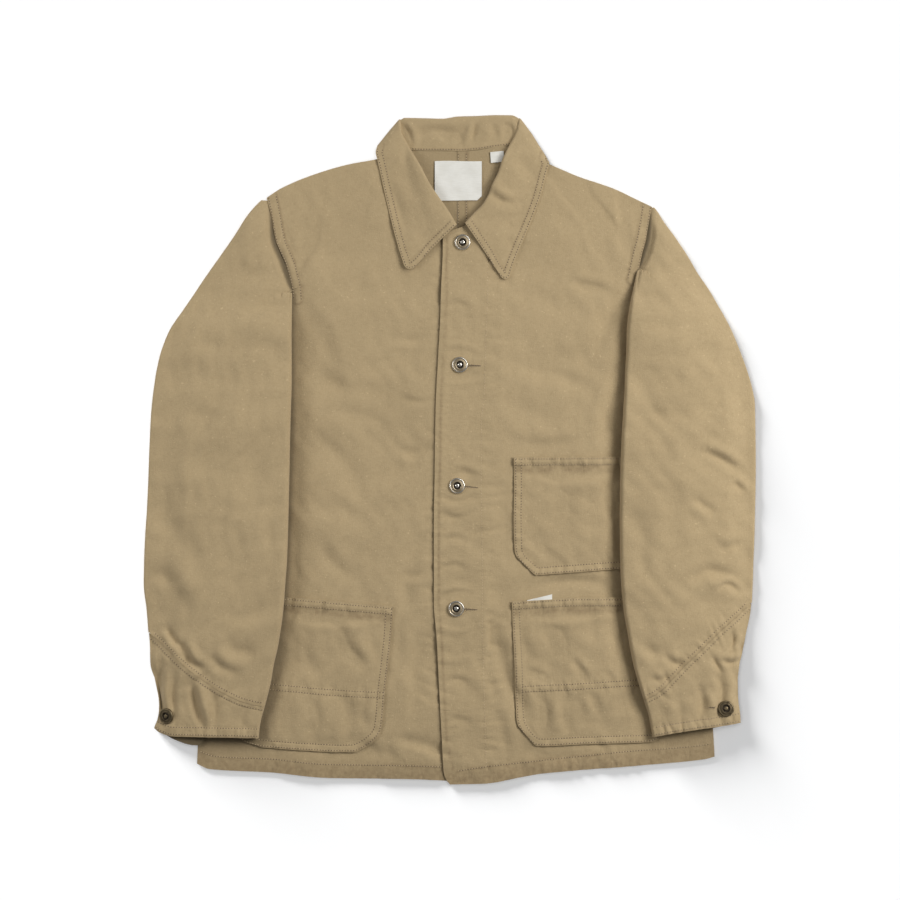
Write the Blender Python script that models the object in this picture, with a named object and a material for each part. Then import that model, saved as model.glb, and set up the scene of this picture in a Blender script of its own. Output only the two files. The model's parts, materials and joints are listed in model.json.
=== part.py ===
# A chore jacket laid flat on its back, fronts up, sleeves folded down beside the body.
# The surface is Z = 0, the collar points to +Y, and the wearer's left side is at +X.
# Sizes below are in millimetres; the meshes are made in metres.

import bpy
import numpy as np
from math import cos, pi, radians, sin

METRE = 0.001

# Cloth and layers
CLOTH = 1.2               # wall of every cloth piece
HALF_CLOTH = CLOTH / 2
TRIM = 1.0                # wall of the label, tag and tab
SEAM_GAP = 0.3            # between pieces that meet edge to edge
LAYER_GAP = 0.5           # between pieces that lie on each other
LAYER = CLOTH + LAYER_GAP
NECK_LIFT = 1.7           # room under the back's neck for the turned-down collar
CROWN = 2.8               # air between the fronts and the back
CENTRE = 6                # x of the body's middle
CENTRE_BACK = 8           # x of the centre-back seam

# Where the heights of the body's layers change, each (from, to)
NECK_MIDDLE = 10
NECK_ROOM_UP = (195, 300)        # y, towards the neck
NECK_ROOM_OUT = (92, 190)        # away from the neck's middle
CROWN_OUT = (120, 240)           # away from the body's middle
CROWN_HEM = (-374, -250)         # y, up from the hem
CROWN_SHOULDER = (150, 290)      # y, up to the shoulders
OVERLAP_END = (52, 90)           # x where the top front comes down off the under front
LEAF_OVERLAP = (-60, -20)        # x where a collar leaf climbs on to the top front

# Sleeves
FOLD_INNER = 8.0          # height of the soft fold beside the body
FOLD_OUTER = 4.0          # height of the fold that rests on the surface
BACK_SEAM = 6.0           # from the outer fold to the seam on top
FRONT_SEAM = 22.0         # from the inner fold to the seam underneath
SLEEVE_OVER_BODY = 1.1    # clear space between the fronts and the sleeves
POCKET_ROOM = 1.7         # more of it where a pocket lies under a sleeve
POCKET_ROOM_DOWN = (10, 60)      # y where that room begins
CLIMB = (20, 48)          # how far outside the body's side the under layer climbs on to it
ARMHOLE_CLIMB = 2         # the same beside the armhole, where it climbs at once
CAP_FOLD = 1.6            # radius of the inner fold at the armhole
FOLD_GROWTH = 90          # length over which it grows to its full size
FOLD_PRESSED = 0.35       # share of the inner fold pressed out at the cuff
PRESSED_DOWN = (-200, -320)
SLIT_STEP = 2.0           # a cell that climbs more than this is left open at the armhole
VENT_SHARES = (0.002, 0.02)      # the two points of the vent's top edge
VENT_HEIGHTS = (1.9, 2.6)        # their heights over the layer underneath
CUFF_PEEK = {"right": 11.0, "left": 2.0}    # how far the under layer shows past the hem
PEEK_START = (0.0, 0.15)         # shares across the cuff where that begins and ends
PEEK_END = (0.2, 0.6)
FAN_START = -168          # rows below this turn towards the slanted cuff seam

# Collar
COLLAR_ROLL = 4.5         # height of the rolled edge of a leaf
COLLAR_FLAT = 45          # from the rolled edge to where a leaf lies down
ROLL_REST = 2             # height of a leaf's section where it lies outside the body
STAND_RISE = 3.6          # height of the fold at the back of the neck

# Buttons
BUTTON_RADIUS = 8.9
BUTTON_SIDES = 20
# Its section from the middle of the back, round the rim to the post: radius, height
BUTTON_PROFILE = [(0, 0.0), (7.7, 0.0), (BUTTON_RADIUS, 0.9), (BUTTON_RADIUS, 1.9),
                  (7.5, 2.8), (5.2, 2.4), (3.9, 1.3), (2.4, 1.3), (1.8, 2.2), (0, 2.5)]
CUFF_BUTTON_GAP = 1.5     # the cuff is rounded under its button

# Body outlines, each a row of (y, x) from the hem to the shoulder tip
SIDE_RIGHT = [(-356, -283), (-150, -274), (118, -263), (177, -177), (180, -177),
              (208, -184), (235, -195), (262, -200), (282, -205)]
SIDE_LEFT = [(-347, 296), (-150, 288), (118, 280), (202, 211), (205, 212),
             (235, 219), (256, 223), (272, 226)]
EDGE_TOP_FRONT = [(-374, 0), (-360, -7), (-268, -12), (-168, -18), (-81, -18),
                  (45, -16), (143, -11), (232, -8), (247, -6)]
EDGE_UNDER_FRONT = [(-380, 34), (250, 38)]

# Hem, neck and shoulder lines, each a row of (x, y) from left to right
HEM = [(-284, -351), (-269, -357), (-197, -361), (-134, -368), (-45, -367), (0, -373),
       (38, -372), (78, -365), (108, -360), (215, -352), (296, -344)]
SHOULDER_RIGHT = [(-205, 282), (-190, 293), (-158, 307), (-115, 320), (-87, 324), (-53, 333)]
SHOULDER_LEFT = [(75, 338), (110, 319), (143, 306), (186, 292), (207, 281), (226, 272)]
NECK_FRONT_RIGHT = [(-53, 333), (-52, 322), (-48, 310), (-40, 298), (-31, 287), (-20, 276),
                    (-9, 264), (5, 246), (40, 244)]
NECK_FRONT_LEFT = [(-8, 240), (4, 246), (17, 250), (31, 262), (44, 272), (55, 283),
                   (62, 295), (69, 308), (73, 322), (75, 338)]
NECK_BACK = [(-53, 333), (-44, 334.5), (8, 334), (28, 335), (60, 340), (75, 338)]

# Corner of each armhole and tip of each shoulder: y
CORNER = {"right": 177, "left": 202}
TIP = {"right": 282, "left": 272}
ARMPIT = 118

# One row for each section of a sleeve: y, outer edge, inner edge, fullness of the middle
SLEEVE_RIGHT = [
    (279, -213, -204, 0.0), (262, -225, -200, 1.0), (235, -243, -195, 2.5),
    (208, -262, -184, 3.5), (184, -280, -178, 4.0), (171, -289, -177, 4.5),
    (155, -300, -177, 5.0), (132, -315, -177, 5.5), (105, -324, -177, 5.5),
    (65, -331, -177, 5.5), (11, -335, -178, 5.0), (-56, -338, -179, 4.5),
    (-123, -342, -183, 4.5), (-168, -340, -185, 4.5), (-218, -337, -193, 4.0),
    (-258, -330, -201, 3.0), (-286, -326, -208, 2.5), (-340, -333, -215, 2.0),
]
SLEEVE_LEFT = [
    (271, 228, 226, 0.0), (256, 237, 223, 1.0), (235, 253, 219, 2.5),
    (209, 270, 213, 3.5), (197, 278, 209, 4.0), (183, 287, 206, 4.5),
    (162, 298, 201, 5.0), (128, 317, 197, 5.5), (90, 332, 196, 5.5),
    (52, 340, 193, 5.5), (-16, 342, 190, 5.0), (-75, 340, 189, 4.5),
    (-137, 338, 190, 4.5), (-179, 337, 194, 4.5), (-226, 327, 202, 4.0),
    (-258, 322, 210, 3.0), (-280, 322, 217, 2.5), (-330, 326, 228, 2.0),
]

# Slanted cuff seam and cuff hem: share of the way from the outer to the inner edge, y
CUFF_SEAM_RIGHT = [(0, -204), (0.22, -233), (0.39, -253), (0.61, -271), (0.81, -281), (1, -286)]
CUFF_SEAM_LEFT = [(0, -171), (0.2, -198), (0.39, -224), (0.61, -250), (0.82, -269), (1, -278)]
CUFF_HEM_RIGHT = [(0, -312), (0.2, -319), (0.65, -320), (1, -321)]
CUFF_HEM_LEFT = [(0, -305), (0.24, -308), (0.47, -311), (1, -319)]

# Pockets: one row for each level, left x and y, right x and y, from the bottom up
POCKET_CHEST = [(93, -140, 180, -138), (72, -119, 201, -117), (71.5, -60, 201, -60),
                (71.5, -8, 201, -7)]
POCKET_LOWER_LEFT = [(96, -330, 226, -327), (75, -304, 249, -303), (72, -236, 248, -236),
                     (69, -169, 246, -165)]
POCKET_LOWER_RIGHT = [(-215, -331, -105, -338), (-240, -307, -77, -316),
                      (-236, -235, -68, -240), (-232, -160, -63, -175)]

# Collar leaves: one row for each section, rolled edge x and y, outer edge x and y
LEAF_RIGHT = [(7, 251, -45, 203), (-3, 268, -52, 208), (-11, 279, -57, 222),
              (-18, 289, -62, 241), (-25, 300, -66, 262), (-32, 314, -72, 283),
              (-40, 328, -77, 306), (-49, 344, -81, 324), (-57, 358, -82, 336),
              (-56, 370, -78, 341)]
LEAF_LEFT = [(17, 253, 60, 192), (27, 264, 68, 203), (36, 273, 76, 221),
             (43, 284, 85, 242), (48, 297, 93, 261), (54, 309, 100, 280),
             (59, 324, 105, 298), (66, 339, 110, 314), (74, 355, 109, 323),
             (78, 371, 102, 335)]
STAND_WIDTH = [3, 5, 8, 11, 12, 12, 12, 12, 10, 6]
LEAF_DROP_ROLL = [1, 1, 1, 1, 1, 1, 1, 1, 0.9, 0.6]
LEAF_DROP_EDGE = [1, 1, 1, 1, 1, 1, 1, 1, 0.9, 0.4]
# Back of the collar: neck seam x and y, fold x and y, outer edge x and y, share of the rise
COLLAR_BACK = [(-55, 336, -54, 368, -76, 306, 0.0), (-46, 336, -44, 370.5, -56, 304, 0.5),
               (-30, 336, -29, 370.5, -38, 303, 0.9), (-10, 336, -9, 371, -14, 302, 1.0),
               (10, 336, 10, 372, 10, 302, 1.0), (30, 337, 30, 373, 34, 302, 1.0),
               (50, 340.5, 50, 373.5, 58, 303, 0.9), (64, 342, 65, 373.5, 76, 304, 0.5),
               (74, 342, 75, 372, 96, 306, 0.0)]

# Places of the buttons and small trim
FRONT_BUTTONS = [(14, 232), (11, 95), (8, -40), (7, -177)]
CUFF_BUTTON_RIGHT = (-315, -297)
CUFF_BUTTON_LEFT = (307, -288)
NECK_LABEL = (-17, 35, 279, 323)     # left, right, bottom, top
LABEL_CORNER = 5
SIZE_TAG = (45, 60, 321, 333)
POCKET_TAB = (86, 114, -167.3, -161.5)


def line(table, value):
    """A value read from a table of (from, to) rows."""
    rows = sorted(table)
    return float(np.interp(value, [row[0] for row in rows], [row[1] for row in rows]))


def mix(start, end, share):
    return start + (end - start) * share


def ease(value, start, end):
    """0 at start, 1 at end, and level at both."""
    share = min(max((value - start) / (end - start), 0.0), 1.0)
    return share * share * (3 - 2 * share)


# ---- Heights of the layers of the body: all give the middle of the cloth's wall ----

def back_height(x, y):
    lift = ease(y, *NECK_ROOM_UP) * (1 - ease(abs(x - NECK_MIDDLE), *NECK_ROOM_OUT))
    return HALF_CLOTH + NECK_LIFT * lift


def under_front_height(x, y):
    side = 1 - ease(abs(x - CENTRE), *CROWN_OUT)
    hem = ease(y, *CROWN_HEM)
    shoulder = 1 - ease(y, *CROWN_SHOULDER)
    return back_height(x, y) + LAYER + CROWN * side * hem * shoulder


def top_front_height(x, y):
    overlap = 1 - ease(x, *OVERLAP_END)
    return under_front_height(x, y) + LAYER * overlap


def leaf_base_height(x, y):
    """Height of whichever front is on top under a collar leaf."""
    covered = ease(x, *LEAF_OVERLAP)
    return mix(under_front_height(x, y), top_front_height(x, y), covered)


# ---- Mesh helpers ----

def material(name, colour, roughness, metallic=0.0):
    made = bpy.data.materials.new(name)
    made.use_nodes = True
    shader = made.node_tree.nodes["Principled BSDF"]
    shader.inputs["Base Color"].default_value = (*colour, 1.0)
    shader.inputs["Roughness"].default_value = roughness
    shader.inputs["Metallic"].default_value = metallic
    return made


def mesh_object(name, points, faces, finish):
    mesh = bpy.data.meshes.new(name)
    mesh.from_pydata([tuple(value * METRE for value in point) for point in points], [], faces)
    mesh.validate()
    mesh.materials.append(finish)
    mesh.shade_smooth()
    mesh.set_sharp_from_angle(angle=radians(40))
    made = bpy.data.objects.new(name, mesh)
    bpy.context.scene.collection.objects.link(made)
    return made


def wall(name, grid, finish, thickness=CLOTH, missing=()):
    """A wall of cloth on a grid of points, without the cells whose (row, column) is missing."""
    rows = len(grid)
    columns = len(grid[0])
    points = []
    numbers = {}
    faces = []

    def number(row, column):
        if (row, column) not in numbers:
            numbers[(row, column)] = len(points)
            points.append(grid[row][column])
        return numbers[(row, column)]

    for row in range(rows - 1):
        for column in range(columns - 1):
            if (row, column) in missing:
                continue
            faces.append((number(row, column), number(row, column + 1),
                          number(row + 1, column + 1), number(row + 1, column)))
    made = mesh_object(name, points, faces, finish)
    solidify = made.modifiers.new("Wall", 'SOLIDIFY')
    solidify.thickness = thickness * METRE
    solidify.offset = 0
    solidify.use_even_offset = True
    return made


# ---- Body panels ----

LOWER_ROWS = [-315, -270, -220, -167, -112, -60, -8, 40, 82, ARMPIT]
HEM_LOWEST = -374
HIP_ROWS = 1              # rows between the hem and the first level row
ARMHOLE_ROWS = 3          # rows between the armpit and the corner of the armhole
SHOULDER_ROWS = 5         # rows between that corner and the shoulder
BACK_HEM_RISE = 1.5       # the back's hem is this much shorter


def body_panel(name, centre, side, hem, top, shares, height, finish, which):
    """A panel between its centre line and its side line, from the hem to the neck and shoulder."""
    grid = []
    corner = CORNER[which]
    tip = TIP[which]

    def row_at(level, y_of):
        start = centre(level)
        end = line(side, level)
        row = []
        for share in shares:
            x = mix(start, end, share)
            y = y_of(x)
            row.append((x, y, height(x, y)))
        return row

    for step in range(HIP_ROWS):
        grid.append(row_at(mix(HEM_LOWEST, LOWER_ROWS[0], step / HIP_ROWS),
                           lambda x: mix(line(hem, x), LOWER_ROWS[0], step / HIP_ROWS)))
    for level in LOWER_ROWS:
        grid.append(row_at(level, lambda x: level))
    for step in range(1, ARMHOLE_ROWS):
        level = mix(LOWER_ROWS[-1], corner, step / ARMHOLE_ROWS)
        grid.append(row_at(level, lambda x: level))
    for step in range(SHOULDER_ROWS + 1):
        share = step / SHOULDER_ROWS
        grid.append(row_at(mix(corner, tip, share), lambda x: mix(corner, line(top, x), share)))
    if which == "right":
        grid = [row[::-1] for row in grid]
    return wall(name, grid, finish)


def make_body(cloth):
    right_shares = [0, 0.06, 0.13, 0.19, 0.25, 0.31, 0.372, 0.46, 0.57, 0.68, 0.79, 0.9, 1]
    left_shares = [0, 0.06, 0.13, 0.2, 0.27, 0.32, 0.356, 0.45, 0.56, 0.67, 0.78, 0.89, 1]
    back_right_shares = [0, 0.14, 0.29, 0.43, 0.57, 0.71, 0.86, 1]
    back_left_shares = [0, 0.15, 0.307, 0.45, 0.6, 0.74, 0.87, 1]
    half_gap = SEAM_GAP / 2
    back_hem = [(x, y + BACK_HEM_RISE) for x, y in HEM]

    body_panel("back_right", lambda y: CENTRE_BACK - half_gap, SIDE_RIGHT, back_hem,
               NECK_BACK + SHOULDER_RIGHT, back_right_shares, back_height, cloth, "right")
    body_panel("back_left", lambda y: CENTRE_BACK + half_gap, SIDE_LEFT, back_hem,
               NECK_BACK + SHOULDER_LEFT, back_left_shares, back_height, cloth, "left")
    body_panel("front_right", lambda y: line(EDGE_UNDER_FRONT, y), SIDE_RIGHT, HEM,
               NECK_FRONT_RIGHT + SHOULDER_RIGHT, right_shares, under_front_height, cloth,
               "right")
    body_panel("front_left", lambda y: line(EDGE_TOP_FRONT, y), SIDE_LEFT, HEM,
               NECK_FRONT_LEFT + SHOULDER_LEFT, left_shares, top_front_height, cloth, "left")


def armhole_line(side_table, side):
    """The armhole edge of the body as its rows make it, as (y, x) rows."""
    levels = [mix(CORNER[side], TIP[side], step / SHOULDER_ROWS)
              for step in range(SHOULDER_ROWS + 1)]
    return [(level, line(side_table, level)) for level in levels]


# ---- Sleeves and cuffs ----

class Sleeve:
    """The flattened tube of one sleeve. A share of 0 is its outer fold and 1 its inner fold."""

    def __init__(self, side, sections, body_side, cuff_seam, cuff_hem, front_height):
        self.side = side
        self.sections = sections
        self.body_side = body_side
        self.cuff_seam = cuff_seam
        self.cuff_hem = cuff_hem
        self.corner = CORNER[side]
        self.armhole = armhole_line(body_side, side)
        self.front_height = front_height

    def column(self, index, y):
        if index == 2 and y > self.corner:
            return line(self.armhole, y)
        return line([(row[0], row[index]) for row in self.sections], y)

    def width(self, y):
        return abs(self.column(2, y) - self.column(1, y))

    def x_at(self, share, y):
        return mix(self.column(1, y), self.column(2, y), share)

    def outer_radius(self, y):
        return min(FOLD_OUTER / 2, self.width(y) * 0.2)

    def inner_radius(self, y):
        grown = ease(y, self.corner, self.corner - FOLD_GROWTH)
        flattened = 1 - FOLD_PRESSED * ease(y, *PRESSED_DOWN)
        return mix(CAP_FOLD, FOLD_INNER / 2, grown) * flattened

    def is_cap(self, y):
        return y > self.corner

    def over_body(self, x, y):
        """How far the under layer has climbed from the surface on to the body: 0 to 1."""
        if self.is_cap(y):
            return 0.0
        outside = (abs(x) - abs(line(self.body_side, y)))
        if y > ARMPIT:
            return 1.0 if outside < ARMHOLE_CLIMB else 0.0
        return 1 - ease(outside, *CLIMB)

    def under_height(self, x, y):
        pocket = POCKET_ROOM * (1 - ease(y, *POCKET_ROOM_DOWN))
        on_body = self.front_height(x, y) + CLOTH + SLEEVE_OVER_BODY + pocket
        return mix(HALF_CLOTH, on_body, self.over_body(x, y))

    def upper_height(self, share, y):
        x = self.x_at(share, y)
        if self.is_cap(y):
            inner = self.front_height(x, y) - HALF_CLOTH
        else:
            inner = self.inner_radius(y) * 2
        fold = mix(self.outer_radius(y) * 2, inner, share)
        return self.under_height(x, y) + fold + self.column(3, y) * sin(pi * share)

    def top_at(self, x, y):
        return self.upper_height(abs(x - self.column(1, y)) / self.width(y), y)

    def upper_point(self, share, y):
        return (self.x_at(share, y), y, self.upper_height(share, y))

    def under_point(self, share, y):
        x = self.x_at(share, y)
        return (x, y, self.under_height(x, y))

    def fold_point(self, inner, angle, y):
        """A point round the inner or the outer fold: 90 degrees is its top, -90 its bottom."""
        radius = self.inner_radius(y) if inner else self.outer_radius(y)
        share = self.nose_share(inner, y)
        bottom = self.under_height(self.x_at(share, y), y)
        top = self.upper_height(share, y)
        centre = (bottom + top) / 2
        outward = 1 if inner else -1
        inwards = 1 if self.side == "right" else -1
        x = self.x_at(share, y) + inwards * outward * radius * cos(radians(angle))
        return (x, y, centre + (top - bottom) / 2 * sin(radians(angle)))

    def nose_share(self, inner, y):
        if inner:
            return 1 - self.inner_radius(y) / self.width(y)
        return self.outer_radius(y) / self.width(y)

    def seam_share(self, y):
        return min(BACK_SEAM, self.width(y) * 0.35) / self.width(y)

    def front_seam_share(self, y):
        return 1 - FRONT_SEAM / self.width(y)


CAP_ROWS = {"right": [279, 262, 235, 208, 184], "left": [270.5, 256, 235, 218, 209]}
TUBE_ROWS = {"right": [171, 158, 145, 132, 118, 100, 65, 11, -45, -105, FAN_START],
             "left": [196, 180, 162, 145, 130, 116, 90, 45, -16, -75, -125, -150]}
FAN_ROWS = 3
CUFF_ROWS = 4
UPPER_SHARES = [0, 0.14, 0.3, 0.46, 0.62, 0.78, 0.9, 1]
UNDER_SHARES = [0, 0.2, 0.4, 0.6, 0.8, 1]
TURN_SHARES = [0, 0.5, 1]
NOSE_ANGLES = [45, 0, -45]


def sleeve_levels(sleeve):
    """For each row of the sleeve, a function from the share across to its y."""
    tube = TUBE_ROWS[sleeve.side]
    levels = [lambda share, y=y: y for y in CAP_ROWS[sleeve.side] + tube]
    for step in range(1, FAN_ROWS + 1):
        part = step / FAN_ROWS
        levels.append(lambda share, part=part: mix(tube[-1], line(sleeve.cuff_seam, share), part))
    return levels


def settle(level, share_of):
    """The y at which a row that slants crosses a line whose share depends on y."""
    y = level(0.5)
    for _ in range(6):
        y = level(share_of(y))
    return y


def upper_row(sleeve, level, cap):
    row = []
    gap = SEAM_GAP / 2
    for part in UPPER_SHARES:
        def share_of(y):
            start = sleeve.seam_share(y) + gap / sleeve.width(y)
            end = 1 - SEAM_GAP / sleeve.width(y) if cap else sleeve.nose_share(True, y)
            return mix(start, end, part)
        y = settle(level, share_of)
        row.append(sleeve.upper_point(share_of(y), y))
    y = level(1)
    for angle in NOSE_ANGLES:
        row.append(sleeve.fold_point(True, angle, y))
    for part in TURN_SHARES:
        def share_of(y):
            end = sleeve.front_seam_share(y) + gap / sleeve.width(y)
            return mix(sleeve.nose_share(True, y), end, part)
        y = settle(level, share_of)
        row.append(sleeve.under_point(share_of(y), y))
    return row


def under_row(sleeve, level, cap):
    row = []
    gap = SEAM_GAP / 2
    for part in (0, 1):
        def share_of(y):
            start = sleeve.seam_share(y) - gap / sleeve.width(y)
            return mix(start, sleeve.nose_share(False, y), part)
        y = settle(level, share_of)
        row.append(sleeve.upper_point(share_of(y), y))
    y = level(0)
    for angle in NOSE_ANGLES:
        row.append(sleeve.fold_point(False, angle, y))
    for part in UNDER_SHARES:
        def share_of(y):
            end = sleeve.front_seam_share(y) - gap / sleeve.width(y)
            if cap:
                end = 1 - SEAM_GAP / sleeve.width(y)
            return mix(sleeve.nose_share(False, y), end, part)
        y = settle(level, share_of)
        row.append(sleeve.under_point(share_of(y), y))
    return row


def slit_cells(grid, first, corner):
    """Cells on the armhole's underside, where the under layer changes from floor to body."""
    found = set()
    for row in range(len(grid) - 1):
        ys = [grid[row][first][1], grid[row + 1][first][1]]
        if max(ys) < ARMPIT - 8 or min(ys) > corner + 20:
            continue
        for column in range(first, len(grid[0]) - 1):
            corners = [grid[row][column], grid[row][column + 1],
                       grid[row + 1][column], grid[row + 1][column + 1]]
            heights = [point[2] for point in corners]
            if max(heights) - min(heights) > SLIT_STEP:
                found.add((row, column))
    return found


def make_sleeve(sleeve, cloth):
    levels = sleeve_levels(sleeve)
    cap_count = len(CAP_ROWS[sleeve.side])
    upper = [upper_row(sleeve, level, index < cap_count) for index, level in enumerate(levels)]
    under = [under_row(sleeve, level, index < cap_count) for index, level in enumerate(levels)]
    top_columns = len(UPPER_SHARES)
    hidden = {(row, column) for row in range(cap_count)
              for column in range(top_columns - 1, len(upper[0]) - 1)}
    bottom_column = 2 + len(NOSE_ANGLES)
    hidden_slit = slit_cells(upper, top_columns + len(NOSE_ANGLES), sleeve.corner)
    slit = slit_cells(under, bottom_column, sleeve.corner)
    if sleeve.side == "left":
        upper = [row[::-1] for row in upper]
        under = [row[::-1] for row in under]
        last = len(upper[0]) - 2
        hidden = {(row, last - column) for row, column in hidden | hidden_slit}
        last = len(under[0]) - 2
        slit = {(row, last - column) for row, column in slit}
    else:
        hidden = hidden | hidden_slit
    wall(f"sleeve_{sleeve.side}_upper", upper, cloth, missing=hidden)
    wall(f"sleeve_{sleeve.side}_under", under, cloth, missing=slit)


def make_cuff(sleeve, cloth):
    """A strip from the vent's top edge, across, round the inner fold and back underneath."""
    grid = []
    for step in range(CUFF_ROWS + 1):
        part = step / CUFF_ROWS

        def level(share, drop=0.0):
            start = line(sleeve.cuff_seam, share) - SEAM_GAP
            return mix(start, line(sleeve.cuff_hem, share) - drop, part)

        row = []
        for share, rise in zip(VENT_SHARES, VENT_HEIGHTS):
            y = level(share)
            x = sleeve.x_at(share, y)
            row.append((x, y, sleeve.under_height(x, y) + rise))
        for upper_part in UPPER_SHARES:
            def share_of(y):
                start = sleeve.seam_share(y) + SEAM_GAP / 2 / sleeve.width(y)
                return mix(start, sleeve.nose_share(True, y), upper_part)
            y = settle(level, share_of)
            row.append(sleeve.upper_point(share_of(y), y))
        for angle in NOSE_ANGLES:
            row.append(sleeve.fold_point(True, angle, level(1)))
        turned = [(True, part) for part in TURN_SHARES]
        turned += [(False, part) for part in UNDER_SHARES[-2::-1]]
        for inner, under_part in turned:
            def share_of(y):
                return mix(sleeve.nose_share(inner, y), sleeve.front_seam_share(y), under_part)
            y = settle(level, share_of)
            share = share_of(y)
            shown = ease(share, *PEEK_START) * (1 - ease(share, *PEEK_END))
            y = level(share, CUFF_PEEK[sleeve.side] * shown)
            row.append(sleeve.under_point(share, y))
        grid.append(row)
    if sleeve.side == "left":
        grid = [row[::-1] for row in grid]
    wall(f"cuff_{sleeve.side}", grid, cloth)


# ---- Pockets, collar and small trim ----

POCKET_COLUMNS = 8
POCKET_STEPS = 3
POCKET_SHORT_ROW = 40     # rows closer than this are not split

def pocket(name, table, height, cloth):
    grid = []
    for lower, upper in zip(table, table[1:]):
        count = 1 if upper[1] - lower[1] < POCKET_SHORT_ROW else POCKET_STEPS
        for step in range(count):
            grid.append([mix(a, b, step / count) for a, b in zip(lower, upper)])
    grid.append(list(table[-1]))
    rows = []
    for left_x, left_y, right_x, right_y in grid:
        row = []
        for step in range(POCKET_COLUMNS + 1):
            x = mix(left_x, right_x, step / POCKET_COLUMNS)
            y = mix(left_y, right_y, step / POCKET_COLUMNS)
            row.append((x, y, height(x, y) + LAYER))
        rows.append(row)
    wall(name, rows, cloth)


def leaf_section(station, stand, drop_roll, drop_edge):
    """From the stand, round the rolled edge and out over the leaf."""
    roll_x, roll_y, edge_x, edge_y = station
    length = np.hypot(edge_x - roll_x, edge_y - roll_y)
    radius = COLLAR_ROLL / 2
    section = []

    def add(distance, above):
        share = distance / length
        x = mix(roll_x, edge_x, share)
        y = mix(roll_y, edge_y, share)
        flat = leaf_base_height(x, y) + LAYER + above
        drop = mix(drop_roll, drop_edge, share)
        section.append((x, y, ROLL_REST + (flat - ROLL_REST) * drop))

    for distance in (stand, mix(stand, radius, 0.5), radius):
        add(distance, 0)
    for angle in (-45, 0, 45):
        add(radius * (1 - cos(radians(angle))), radius * (1 + sin(radians(angle))))
    for share in (0, 0.12, 0.26, 0.42, 0.6, 0.8, 1):
        distance = mix(radius, length, share)
        add(distance, COLLAR_ROLL * (1 - ease(distance, radius, COLLAR_FLAT)))
    return section


def make_leaf(name, stations, cloth, flip):
    grid = [leaf_section(*row) for row in
            zip(stations, STAND_WIDTH, LEAF_DROP_ROLL, LEAF_DROP_EDGE)]
    if flip:
        grid = [row[::-1] for row in grid]
    wall(name, grid, cloth)


def make_collar_back(cloth):
    grid = []
    for neck_x, neck_y, fold_x, fold_y, edge_x, edge_y, rise in COLLAR_BACK:
        start = back_height(neck_x, neck_y)
        top = start + STAND_RISE * rise
        radius = (top - HALF_CLOTH) / 2
        row = []
        for share in (0, 0.35, 0.7, 1):
            x = mix(neck_x, fold_x, share)
            y = mix(neck_y, fold_y - radius, share)
            row.append((x, y, mix(start, top, ease(share, 0, 1))))
        for angle in (45, 0, -45):
            row.append((fold_x, fold_y - radius + radius * cos(radians(angle)),
                        HALF_CLOTH + radius * (1 + sin(radians(angle)))))
        for share in (0, 0.35, 0.7, 1):
            row.append((mix(fold_x, edge_x, share), mix(fold_y - radius, edge_y, share),
                        HALF_CLOTH))
        grid.append(row)
    wall("collar_back", [row[::-1] for row in grid], cloth)


PATCH_PARTS = [0, 0.12, 0.4, 0.7, 1]
PATCH_SHARES = [0, 0.2, 0.4, 0.6, 0.8, 1]


def patch(name, box, height, above, finish, corner=0.0):
    """A small flat piece that lies on the cloth below it."""
    left, right, bottom, top = box
    rows = []
    for part in PATCH_PARTS:
        y = mix(bottom, top, part)
        inset = corner if part == 0 else 0
        row = []
        for share in PATCH_SHARES:
            x = mix(left + inset, right - inset, share)
            row.append((x, y, height(x, y) + above))
        rows.append(row)
    wall(name, rows, finish, thickness=TRIM)


def button(name, place, surface, clearance, finish):
    """A turned metal button, lying on the slope of the cloth: a rim round a dished ring and post."""
    reach = BUTTON_RADIUS
    x, y = place
    slope_x = (surface(x + reach, y) - surface(x - reach, y)) / (2 * reach)
    slope_y = (surface(x, y + reach) - surface(x, y - reach)) / (2 * reach)
    across = np.array([1, 0, slope_x]) / np.hypot(1, slope_x)
    up = np.cross(across, np.array([0, 1, slope_y]))
    up /= np.linalg.norm(up)
    along = np.cross(up, across)
    middle = np.array([x, y, surface(x, y)]) + up * (HALF_CLOTH + clearance)

    def point(radius, turn, rise):
        return tuple(middle + across * radius * cos(turn) + along * radius * sin(turn) + up * rise)

    points = [point(0, 0, 0)]
    rings = BUTTON_PROFILE[1:-1]
    for radius, rise in rings:
        for step in range(BUTTON_SIDES):
            points.append(point(radius, 2 * pi * step / BUTTON_SIDES, rise))
    points.append(point(0, 0, BUTTON_PROFILE[-1][1]))
    last = len(points) - 1
    faces = []
    for step in range(BUTTON_SIDES):
        following = (step + 1) % BUTTON_SIDES
        faces.append((0, 1 + following, 1 + step))
        for ring in range(len(rings) - 1):
            start = 1 + ring * BUTTON_SIDES
            faces.append((start + step, start + following,
                          start + BUTTON_SIDES + following, start + BUTTON_SIDES + step))
        start = 1 + (len(rings) - 1) * BUTTON_SIDES
        faces.append((start + step, start + following, last))
    mesh_object(name, points, faces, finish)


def clear_scene():
    for item in list(bpy.data.objects):
        bpy.data.objects.remove(item, do_unlink=True)


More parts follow.
